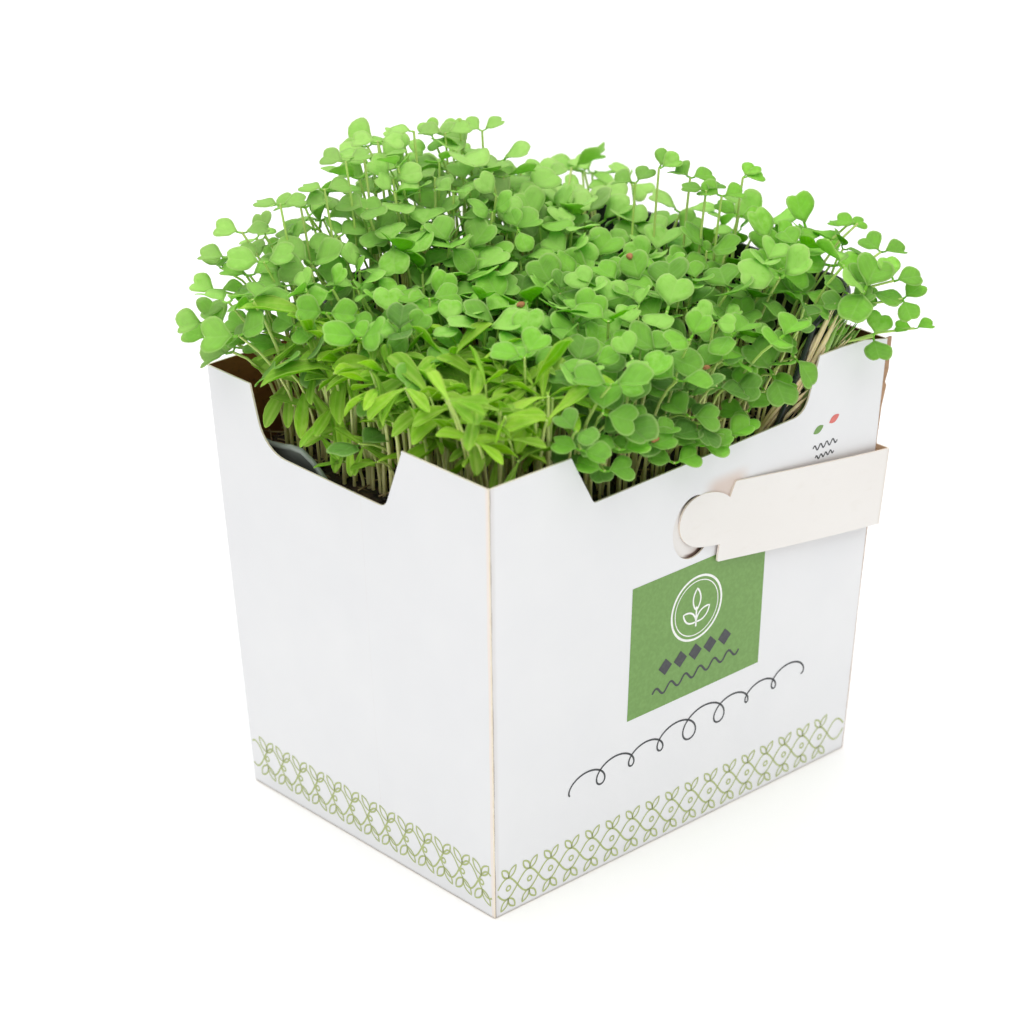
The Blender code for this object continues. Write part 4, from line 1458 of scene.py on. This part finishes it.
def cuts_wall(p):
    """Whether a leaf with its middle at p would cut the board or the liner."""
    if p.x > 0.046 and p.y < -0.052 and p.z < HEIGHT + 0.015:
        return True              # the straws in the near right corner stay clear
    if p.x > 0.030 and p.y < -0.080 and p.z < HEIGHT - 0.006:
        return True              # nothing hangs down over the printed mark
    near_x = HALF_X - HALF_LEAF_IN < abs(p.x) < HALF_X + HALF_LEAF_OUT
    near_y = HALF_Y - HALF_LEAF_IN < abs(p.y) < HALF_Y + HALF_LEAF_OUT
    if not (near_x or near_y):
        return False
    far_side = (near_x and p.x > 0.0) or (near_y and p.y > 0.0)
    if far_side:
        return p.z < LINER_HIGH + OVER_LINER
    in_notch = (near_y and -0.050 < p.x < 0.050) or (near_x and -0.020 < p.y < 0.040)
    return p.z < HEIGHT + (-INTO_NOTCH if in_notch else OVER_RIM)


def hangs_out(p):
    """Whether p is over the outside of a near wall, low enough to hide its rim."""
    return p.z < HEIGHT + 0.004 and (p.x < 0.0015 - HALF_X or p.y < 0.0015 - HALF_Y)


def root_places(rng):
    """Root points on a loose hexagonal grid inside the liner."""
    jitter = ROOT_SPACING * 0.35
    rows = int(2.0 * ROOM_Y / (ROOT_SPACING * 0.87)) + 1
    for row in range(rows):
        columns = int(2.0 * ROOM_X / ROOT_SPACING) + row % 2
        for column in range(columns):
            x = -ROOM_X + (column + 0.5) * 2.0 * ROOM_X / columns + rng.uniform(-jitter, jitter)
            y = -ROOM_Y + row * 2.0 * ROOM_Y / (rows - 1) + rng.uniform(-jitter, jitter)
            x = min(max(x, -ROOM_X), ROOM_X)
            y = min(max(y, -ROOM_Y), ROOM_Y)
            over_x = max(abs(x) - ROOM_X + ROOM_CORNER, 0.0)
            over_y = max(abs(y) - ROOM_Y + ROOM_CORNER, 0.0)
            sparse = 1.3 * smooth(x, 0.045, 0.070) * smooth(y, -0.050, -0.015)
            if math.hypot(over_x, over_y) <= ROOM_CORNER and rng.random() > 0.5 * sparse:
                yield x, y


# The sprouts' feet keep out of the back left corner, further than this to the
# left of the middle as the camera sees it, so that its bare wall shows.
CORNER_FREE = 0.094
SEEN_RIGHT = (0.74, -0.673)
# How far the leaves may reach: the CAD model's box and a few millimetres.
REACH_PAST = 0.0028
REACH = [(low - REACH_PAST, high + REACH_PAST) for low, high in zip(*cad_bounds)]
taken = []


def in_corner(x, y):
    return SEEN_RIGHT[0] * x + SEEN_RIGHT[1] * y < -CORNER_FREE


def in_reach(p, radius):
    return all(low <= c - radius and c + radius <= high for c, (low, high) in zip(p, REACH))


def has_space(points, space):
    """Whether new leaf middles keep their distance from all placed ones."""
    for p in points:
        for q in taken:
            if abs(p.x - q.x) < space and abs(p.y - q.y) < space and (p - q).length < space:
                return False
    return True


def lean_of(x, y):
    """How far a crown leans out over the rim, as a vector."""
    edge_share = max(abs(x) / ROOM_X, abs(y) / ROOM_Y)
    return Vector((x / ROOM_X, y / ROOM_Y, 0.0)) * OVERHANG * smooth(edge_share, 0.3, 1.0)


def foot_of(x, y):
    """The foot of the sprout with its crown over x, y: none in the back left corner."""
    short = max(-CORNER_FREE - SEEN_RIGHT[0] * x - SEEN_RIGHT[1] * y, 0.0)
    foot_x, foot_y = x + SEEN_RIGHT[0] * short, y + SEEN_RIGHT[1] * short
    return Vector((foot_x, foot_y, soil_top(foot_x, foot_y) - ROOT_DEPTH))


def knee_height(foot, crown, share):
    """How high a stem bends: above the rim that it leans out over."""
    height = foot.z * (1.0 - share) + crown.z * share
    if crown.x > ROOM_X or crown.y > ROOM_Y:
        height = max(height, min(LINER_HIGH + OVER_RIM, crown.z - UNDER_CROWN))
    elif crown.x < -ROOM_X or crown.y < -ROOM_Y:
        height = max(height, min(HEIGHT + OVER_RIM, crown.z - UNDER_CROWN))
    return height


def turned(heading, rise, roll, start=Matrix.Identity(3)):
    """A leaf's turn: which way it points, how steeply, and its roll."""
    turn = start @ Matrix.Rotation(heading, 3, "Z")
    return turn @ Matrix.Rotation(-rise, 3, "Y") @ Matrix.Rotation(roll, 3, "X")


def grow_round(stand, x, y, rng):
    """A sprout with a pair of round leaves, where they find room."""
    foot = foot_of(x, y)
    near_side = max(smooth(-y / ROOM_Y, 0.55, 0.9), smooth(-x / ROOM_X, 0.75, 1.0))
    for _ in range(ROUND_TRIES):
        drift = Vector((rng.uniform(-0.008, 0.008), rng.uniform(-0.008, 0.008), 0.0))
        top = crown_height(x, y) - 0.026 * rng.random() ** 1.5 + 0.005
        top -= near_side * rng.uniform(0.0, 0.024)
        crown = Vector((x, y, top)) + lean_of(x, y) + drift
        if (crown.x > ROOM_X or crown.y > ROOM_Y) and top < LINER_HIGH + 0.005:
            continue
        out = lean_of(x, y) / OVERHANG * 0.28 + TO_LIGHT * rng.uniform(-0.05, 0.48)
        out += Vector((rng.uniform(-0.35, 0.35), rng.uniform(-0.35, 0.35), 0.0))
        tilt = Matrix.Rotation(out.length, 3, Vector((-out.y, out.x, 0.0001)))
        heading = rng.uniform(0.0, math.tau)
        size = ROUND_LEAF * rng.uniform(0.66, 1.24)
        leaves = []
        for half in (0, 1):
            rise = math.radians(rng.gauss(17.0, 17.0))
            turn = turned(heading + math.pi * half + rng.uniform(-0.25, 0.25), rise,
                          rng.uniform(-0.35, 0.35), tilt)
            own = size * rng.uniform(0.92, 1.08)
            leaves.append((turn, own, crown + turn @ Vector(((STALK + 0.5) * own, 0.0, 0.0))))
        middles = [leaf[2] for leaf in leaves]
        if any(cuts_wall(p) or not in_reach(p, own * 0.6) for _, own, p in leaves):
            continue
        if not has_space(middles, LEAF_SPACE):
            continue
        taken.extend(middles)
        # The tint holds painted light: leaves further back are paler, a painted back-light glow,
        # and leaves lower in the canopy darker, painted shade; the rest is random tone.
        far = ((x + HALF_X) * 0.67 + (y + HALF_Y) * 0.74) / 0.24
        tint = rng.gauss(0.36 + 0.36 * far, 0.28) + 30.0 * (top - crown_height(x, y) + 0.008)
        tint = min(max(tint, 0.0), 1.0)
        bend = foot.lerp(Vector((x, y, 0.0)), 0.45)
        knee = Vector((bend.x + rng.uniform(-0.003, 0.003), bend.y + rng.uniform(-0.003, 0.003),
                       knee_height(foot, crown, 0.6)))
        stand.add_stem(foot, knee, crown, rng.uniform(0.85, 1.15), rng.random())
        stand.add_leaves(crown, [leaf[:2] for leaf in leaves], tint, ROUND_KINDS, rng)
        return


# Sprouts that stand out against the white or hang over the rim, listed
# stand by stand: the crown's place and the leaves' length in millimetres, how
# far they face the camera, and their directions as it sees them, in degrees.
PLACED_SPROUTS = [
    ("greens_back", [
        (76, -21, 222, 7.5, 0.4, 60, 25), (60, -10, 223, 8.5, 0.3, 120, 30),
        (55, 1, 225, 8, 0.35, 70, 25), (50, 8, 219, 8, 0.25, 150, 60),
        (74, 60, 198, 8, 0.25, 160, 25), (49, 55, 210, 8, 0.3, 150, 30),
        (41, 60, 213, 8, 0.3, 170, 40), (22, 60, 233, 8, 0.25, 130, 30),
        (11, 60, 240, 8.5, 0.35, 75, 10), (4, 60, 236, 9, 0.25, 165, 20),
        (-11, 60, 240, 8, 0.3, 60, 170), (-28, 60, 240, 8.5, 0.2, 165, 5),
        (-39, 55, 240, 8, 0.3, 120, 200), (-47, 55, 238, 8.5, 0.3, 150, 20),
        (-57, 55, 230, 8.5, 0.3, 150, 30), (-64, 60, 224, 8.5, 0.2, 165, 15),
        (-73, 60, 227, 8.5, 0.25, 160, 10), (-82, 71, 216, 9, 0.25, 165, 15),
        (-88, 72, 208, 9.5, 0.3, 170, -10), (-90, 76, 195, 9, 0.25, 160, 10),
        (-94, 79, 183, 9.5, 0.4, 200, 80), (-90, 73, 182, 9.5, 0.45, 120, -40),
        (-88, 68, 175, 9, 0.4, 170, -30), (-86, 62, 183, 9.5, 0.4, 150, 10),
        (-94, 78, 177, 9, 0.45, 150, -20), (-86, 56, 196, 9.5, 0.35, 140, -10),
        (-84, 65, 202, 9.5, 0.3, 160, 20), (-80, 50, 201, 9.5, 0.35, 150, 10),
        (80, -34, 202, 7.5, 0.25, 150, 40)]),
    ("greens_front", [
        (83, -80, 175, 9.5, 0.6, 70, -80), (97, -70, 201, 8.5, 0.35, 120, 10),
        (88, -84, 196, 9, 0.5, 100, 15), (91, -86, 189, 8.5, 0.55, -75, 40),
        (96, -88, 177, 6.5, 0.15, 12, 160)]),
    ("greens_middle", [
        (101, -50, 205, 6.5, 0.2, 30, 150), (101, -55, 207, 7.5, 0.2, 150, 40)]),
    ("greens_front", [
        (68, -66, 177, 10, 0.45, 95, 20), (36, -72, 165, 10, 0.4, 120, 20),
        (13, -80, 157, 9.5, 0.5, 60, 190), (-51, -80, 184, 10.5, 0.5, 85, -20),
        (-61, -80, 174, 9, 0.45, 160, -30), (-45, -82, 170, 9.5, 0.4, 150, 10),
        (-10, -80, 171, 9.5, 0.45, 130, 0), (-27, -80, 169, 8.5, 0.45, 40, 200),
        (-3, -82, 159, 8.5, 0.45, 20, 150), (-14, -60, 191, 9.5, 0.35, 170, 10),
        (-63, -55, 200, 10, 0.4, 165, 60)]),
    ("greens_middle", [
        (-60, 7, 191, 11, 0.4, 150, 30), (-60, 20, 191, 10, 0.35, 170, 60),
        (-55, 2, 203, 10, 0.35, 160, 20)]),
    ("greens_back", [
        (62, -24, 219, 8, 0.35, 150, 25), (58, -20, 221, 8, 0.3, 60, 170)]),
    ("greens_middle", [
        (70, -25, 210, 8.5, 0.35, 140, 10)]),
    ("greens_front", [
        (-50, -80, 163, 9, 0.45, 160, 15), (-31, -80, 166, 10, 0.45, 20, 170),
        (-5, -80, 159, 9.5, 0.45, 150, -10), (10, -78, 157, 9.5, 0.5, 165, 30),
        (25, -74, 161, 9, 0.45, 165, 60), (-17, -80, 156, 8.5, 0.45, 30, 160)]),
    ("greens_lance", [
        (-84, 44, 168, 16, 0.7, -118, -92, 150), (-84, 35, 169, 18, 0.65, -95, -60, 150),
        (-84, 29, 162, 18, 0.6, -12, -24, 160), (-82, 17, 159, 15, 0.6, -100, -160, 20),
        (-88, 7, 160, 14, 0.85, -88, -20), (-72, 1, 176, 19, 0.45, -75, -100, 40),
        (-78, -8, 167, 14, 0.4, -60, 170, 100), (-88, 0, 158, 12, 0.6, -100, -30, 140),
        (-90, -10, 156, 10, 0.4, -150, 30), (-86, 20, 164, 16, 0.6, -125, -70, 30),
        (-90, 21, 156, 12, 0.5, -60, -15), (-84, 19, 167, 16, 0.6, -112, -80),
        (-106, -66, 200, 14, 0.3, -30, 200, 110), (-97, -68, 184, 12, 0.4, -50, 160),
        (-104, -62, 199, 13, 0.25, -20, -60, 110), (-88, 10, 149, 11, 0.4, -170, -20, 70),
        (-78, 29, 181, 14, 0.4, 170, 30, 100), (-82, 40, 182, 15, 0.4, 150, 200, 60),
        (-78, 33, 187, 15, 0.3, 130, 60, 10), (-82, -68, 180, 12, 0.4, -20, 170, 60),
        (-78, 18, 177, 16, 0.4, -20, 190, 80)]),
]


def place_sprout(stand, crown_mm, directions, length_mm, facing, rng, lance):
    """A sprout with its crown and its leaves' directions as PLACED_SPROUTS gives them."""
    crown = Vector(crown_mm) / 1000.0
    pull = min(0.93, ROOM_X * 0.94 / max(abs(crown.x), 0.001),
               ROOM_Y * 0.94 / max(abs(crown.y), 0.001))
    x, y = crown.x * pull, crown.y * pull
    foot = foot_of(x, y)
    knee = Vector((foot.x * 0.55 + x * 0.45, foot.y * 0.55 + y * 0.45,
                   knee_height(foot, crown, 0.55)))
    stand.add_stem(foot, knee, crown, 0.9, rng.random())
    normal = (Vector((0.0, 0.0, 1.0 - facing)) + backward * facing).normalized()
    for seen in directions:
        angle = math.radians(seen)
        run = rolled_level * math.cos(angle) + rolled_up * math.sin(angle)
        run = (run - normal * run.dot(normal)).normalized()
        side = normal.cross(run)
        turn = Matrix((run, side, normal)).transposed()
        turn = turn @ Matrix.Rotation(math.radians(rng.uniform(-22.0, 2.0)), 3, "Y")
        own = length_mm / 1000.0
        middle = crown + turn @ Vector((0.5 * own if lance else (STALK + 0.5) * own, 0.0, 0.0))
        if not in_reach(middle, own * 0.5):
            continue
        taken.append(middle)
        kinds = LANCE_KINDS if lance else ROUND_KINDS
        stand.add_leaves(crown, [(turn, own)], rng.uniform(0.35, 1.0), kinds, rng)


ROUND_SHAPES = shape_collection("seed_leaf", [
    seed_leaf(0.00, 0.10, 0.10, 0.0, 1.04),
    seed_leaf(0.05, 0.20, 0.05, 0.2, 0.98),
    seed_leaf(-0.02, 0.02, 0.20, -0.2, 1.12),
    seed_leaf(0.08, 0.28, 0.12, 0.1, 0.94),
    seed_leaf(-0.03, 0.15, -0.08, 0.3, 1.06),
    seed_leaf(0.03, 0.05, 0.15, -0.3, 1.02),
    seed_leaf(0.00, 0.12, 0.05, 0.1, 1.08, 0.30),
    seed_leaf(-0.03, 0.25, 0.00, -0.2, 1.10, 0.50),
])
SPROUTS = sprout_tree()
ROUND_FINISH = leaf_surface(
    "round_leaf", (0.038, 0.235, 0.001), (0.275, 0.780, 0.002), (0.260, 0.725, 0.018),
    (0.700, 0.880, 0.370), (0.500, 0.970, 0.015), ribs=False)
ROUND_STEM = stem_surface("round_stem", (0.450, 0.670, 0.140), (0.740, 0.720, 0.310))


# Lance-leaved sprouts: a tuft of long narrow ribbed leaves on a pale stem, at
# the front left. The outer ones droop over the side notch.
LANCE_LEAF = 0.0170
LANCE_SPACE = 0.0036
ROUND_TIP = 0.78             # where along the leaf its tip starts to round
LANCE_TRIES = 6


def lance_leaf(bend, twist, width):
    """A strap of a leaf of unit length, widest near its round tip, drooping."""
    def build():
        bm = bmesh.new()
        layer = bm.verts.layers.float_vector.new("blade")
        rows = []
        for u in (0.0, 0.12, 0.25, 0.4, 0.55, 0.7, 0.82, 0.91, 0.97, 1.0):
            half = width * (0.22 + 0.78 * smooth(u, 0.0, ROUND_TIP))
            tip = math.sqrt(max(1.0 - max((u - ROUND_TIP) / (1.0 - ROUND_TIP), 0.0) ** 2, 0.0))
            half = max(half * tip, width * 0.12)
            row = []
            for share in (-1.0, -0.4, 0.0, 0.4, 1.0):
                row.append(bm.verts.new((u, half * share, 0.0)))
                row[-1][layer] = Vector((u, half * share, abs(share)))
            rows.append(row)
        for near, far in zip(rows, rows[1:]):
            for a in range(4):
                bm.faces.new((near[a], far[a], far[a + 1], near[a + 1]))
        return finished_leaf(bm, layer, bend, 2.0, twist, fold=0.25, length=LANCE_LEAF)
    return build


def grow_lance(stand, x, y, rng):
    """A sprout with a tuft of two to five lance leaves, where they find room."""
    foot = Vector((x, y, soil_top(x, y) - ROOT_DEPTH))
    near_side = max(smooth(-y / ROOM_Y, 0.5, 0.9), smooth(-x / ROOM_X, 0.6, 1.0))
    for _ in range(LANCE_TRIES):
        drift = Vector((rng.uniform(-0.006, 0.006), rng.uniform(-0.006, 0.006), 0.0))
        top = crown_height(x, y) - 0.002 - 0.022 * rng.random()
        top -= near_side * rng.uniform(0.0, 0.004)
        crown = Vector((x, y, top)) + lean_of(x, y) * 0.45 + drift
        heading = rng.uniform(0.0, math.tau)
        leaves = []
        for leaf in range(rng.choice((2, 3, 4, 5))):
            rise = math.radians(rng.uniform(0.0, 68.0) - near_side * rng.uniform(0.0, 52.0))
            turn = turned(heading + 2.1 * leaf + rng.uniform(-0.4, 0.4), rise,
                          rng.uniform(-0.5, 0.5))
            own = LANCE_LEAF * rng.uniform(0.45, 1.35)
            leaves.append((turn, own, crown + turn @ Vector((0.5 * own, 0.0, 0.0))))
        middles = [leaf[2] for leaf in leaves]
        if any(cuts_wall(p) or not in_reach(p, own * 0.45) for _, own, p in leaves):
            continue
        tips = [crown + turn @ Vector((own, 0.0, -0.3 * own)) for turn, own, _ in leaves]
        if any(hangs_out(p) for p in tips) and rng.random() < 0.93:
            continue
        if not has_space(middles, LANCE_SPACE):
            continue
        taken.extend(middles)
        tint = rng.uniform(0.20, 1.0)
        knee = Vector((x, y, knee_height(foot, crown, 0.6)))
        stand.add_stem(foot, knee, crown, rng.uniform(0.9, 1.35), rng.random())
        stand.add_leaves(crown, [leaf[:2] for leaf in leaves], tint, LANCE_KINDS, rng)
        return


LANCE_SHAPES = shape_collection("lance_leaf", [
    lance_leaf(0.10, 0.0, 0.150), lance_leaf(0.35, 0.4, 0.125), lance_leaf(0.60, -0.4, 0.160),
    lance_leaf(0.20, 0.8, 0.115), lance_leaf(0.45, -0.8, 0.140)])
LANCE_FINISH = leaf_surface(
    "lance_leaf", (0.080, 0.300, 0.001), (0.450, 0.830, 0.010), (0.280, 0.710, 0.016),
    (0.740, 0.900, 0.240), (0.580, 0.960, 0.025), ribs=True)
LANCE_STEM = stem_surface("lance_stem", (0.540, 0.740, 0.180), (0.820, 0.800, 0.380))

sprout_rng = random.Random(5)
stands = {name: Stand() for name in STANDS}
for name, rows in PLACED_SPROUTS:
    for x_mm, y_mm, z_mm, length_mm, facing, *directions in rows:
        place_sprout(stands[name], (x_mm, y_mm, z_mm), directions, length_mm, facing,
                     sprout_rng, name == "greens_lance")
mixed_in = Stand()               # round sprouts that grow among the lance-leaved ones
roots = list(root_places(sprout_rng))
sprout_rng.shuffle(roots)
for x, y in roots:
    name = stand_of(x, y, sprout_rng)
    if name != "greens_lance":
        grow_round(stands[name], x, y, sprout_rng)
    elif in_corner(x, y):
        if sprout_rng.random() < 0.5:
            grow_round(mixed_in, x, y, sprout_rng)
    elif sprout_rng.random() < (0.90 * max(smooth(y, -0.036, 0.012), smooth(x, -0.056, -0.043))
                                * smooth(x, -0.084, -0.066)):
        grow_round(mixed_in, x, y, sprout_rng)
    else:
        for shift in (0.0, 0.0028):
            grow_lance(stands[name], x + shift, y + shift, sprout_rng)
round_inputs = {"Leaf Shapes": ROUND_SHAPES, "Stem Sides": STEM_SIDES,
                "Leaf Finish": ROUND_FINISH, "Stem Finish": ROUND_STEM}
lance_inputs = {"Leaf Shapes": LANCE_SHAPES, "Stem Sides": STEM_SIDES,
                "Leaf Finish": LANCE_FINISH, "Stem Finish": LANCE_STEM}
for name, stand in stands.items():
    lance = name == "greens_lance"
    piece = stand.make(name + "_fine", SPROUTS, **(lance_inputs if lance else round_inputs))
    if lance:
        other = mixed_in.make("mixed_in", SPROUTS, **round_inputs)
        joined = {"active_object": piece, "selected_editable_objects": [piece, other]}
        with bpy.context.temp_override(**joined):
            bpy.ops.object.join()
    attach(piece, "root")
    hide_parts(name)



# Grass at the right corner: tufts of dark blades and dry straws among the sown
# sprouts, leaning out over the low end of the front notch. Each tuft is given
# by its foot's x and y and its tip's x, y and z, in millimetres.
GRASS = [
    ("straw", [
        (39, -62, 75, -70, 180), (40, -62, 77, -70, 176), (42, -62, 79, -70, 173),
        (49, -62, 74, -70, 177), (34, -61, 66, -70, 171), (45, -61, 81, -70, 169),
        (46, -62, 62, -70, 164), (52, -60, 82, -70, 166), (41, -59, 56, -70, 158),
        (49, -62, 69, -70, 174)]),
    ("blade", [
        (54, -61, 79, -70, 179), (57, -60, 83, -70, 176), (54, -61, 73, -70, 182),
        (56, -59, 86, -70, 173), (52, -60, 85, -70, 170)]),
    ("straw", [
        (46, -64, 70, -72, 190), (44, -64, 67, -72, 186), (40, -62, 77, -72, 177),
        (38, -63, 72, -72, 172), (35, -62, 80, -72, 174)]),
    ("blade", [
        (54, -63, 75, -72, 189), (54, -62, 79, -72, 183), (53, -61, 85, -72, 176),
        (55, -63, 68, -72, 188)]),
]

TUFT = 6                     # blades in each tuft
TUFT_SPREAD = 0.0030
BLADE_TIP = 0.00012

grass_rng = random.Random(31)
grass = {"straw": Stand(), "blade": Stand()}
for kind, rows in GRASS:
    for foot_x, foot_y, tip_x, tip_y, tip_z in [[mm / 1000.0 for mm in row] for row in rows]:
        for _ in range(TUFT):
            stray = [grass_rng.uniform(-TUFT_SPREAD, TUFT_SPREAD) for _ in range(4)]
            foot = Vector((foot_x + stray[0], foot_y + stray[1], SOIL_FRONT))
            tip = Vector((tip_x + stray[2], tip_y + stray[3], tip_z))
            tip.z += grass_rng.uniform(-0.012, 0.003)
            knee = foot.lerp(tip, 0.5) + Vector((stray[1], stray[0], 0.003))
            wide = grass_rng.uniform(0.7, 1.9)
            grass[kind].add_stem(foot, knee, tip, wide, grass_rng.random())
            grass[kind].values["radius"][-1] = BLADE_TIP
for kind, upper, lower in (("straw", (0.860, 0.720, 0.420), (0.800, 0.600, 0.310)),
                           ("blade", (0.150, 0.420, 0.040), (0.320, 0.480, 0.100))):
    finish = {"Stem Finish": stem_surface("grass_" + kind, upper, lower)}
    piece = grass[kind].make(f"corner_{kind}s", SPROUTS, **{**lance_inputs, **finish})
    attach(piece, "root")


# Seed husks: split brown seed coats that still cling to a few leaves, set where
# a line of sight from the camera meets the greens.
HUSK_RADIUS = 0.0011
HUSK_LIFT = 0.0005
HUSKS = [(0.5088, 0.2979), (0.6152, 0.2510), (0.6396, 0.4297), (0.6895, 0.3574)]

graph = bpy.context.evaluated_depsgraph_get()
trees = [BVHTree.FromObject(bpy.data.objects[name + "_fine"], graph) for name in STANDS]
sensor = camera_data.sensor_width / camera_data.lens
bm = bmesh.new()
for across, down in HUSKS:
    ray = (rolled_level * (across - 0.5) * sensor - rolled_up * (down - 0.5) * sensor - backward)
    hits = [tree.ray_cast(CAMERA_PLACE, ray.normalized()) for tree in trees]
    hits = [hit for hit in hits if hit[0] is not None]
    if not hits:
        continue
    point, normal, _, _ = min(hits, key=lambda hit: hit[3])
    facing = normal if normal.dot(ray) < 0.0 else -normal
    turn = facing.to_track_quat("Z", "Y").to_matrix().to_4x4()
    place = Matrix.Translation(point + facing * HUSK_LIFT) @ turn
    place = place @ Matrix.Rotation(across * 50.0, 4, "Z")
    for vert in bmesh.ops.create_icosphere(bm, subdivisions=3, radius=HUSK_RADIUS)["verts"]:
        lump = noise.noise(vert.co * 1400.0 + Vector((across * 90.0, 0.0, 0.0)))
        vert.co *= 1.0 + 0.28 * lump
        vert.co = place @ (vert.co * Vector((1.35, 1.0, 0.6)))
husk_finish = kraft_board("seed_husk", (0.560, 0.270, 0.110), (0.300, 0.120, 0.045))
husks = new_object("seed_husks", bm, husk_finish)
husks.data.shade_smooth()
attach(husks, "root")
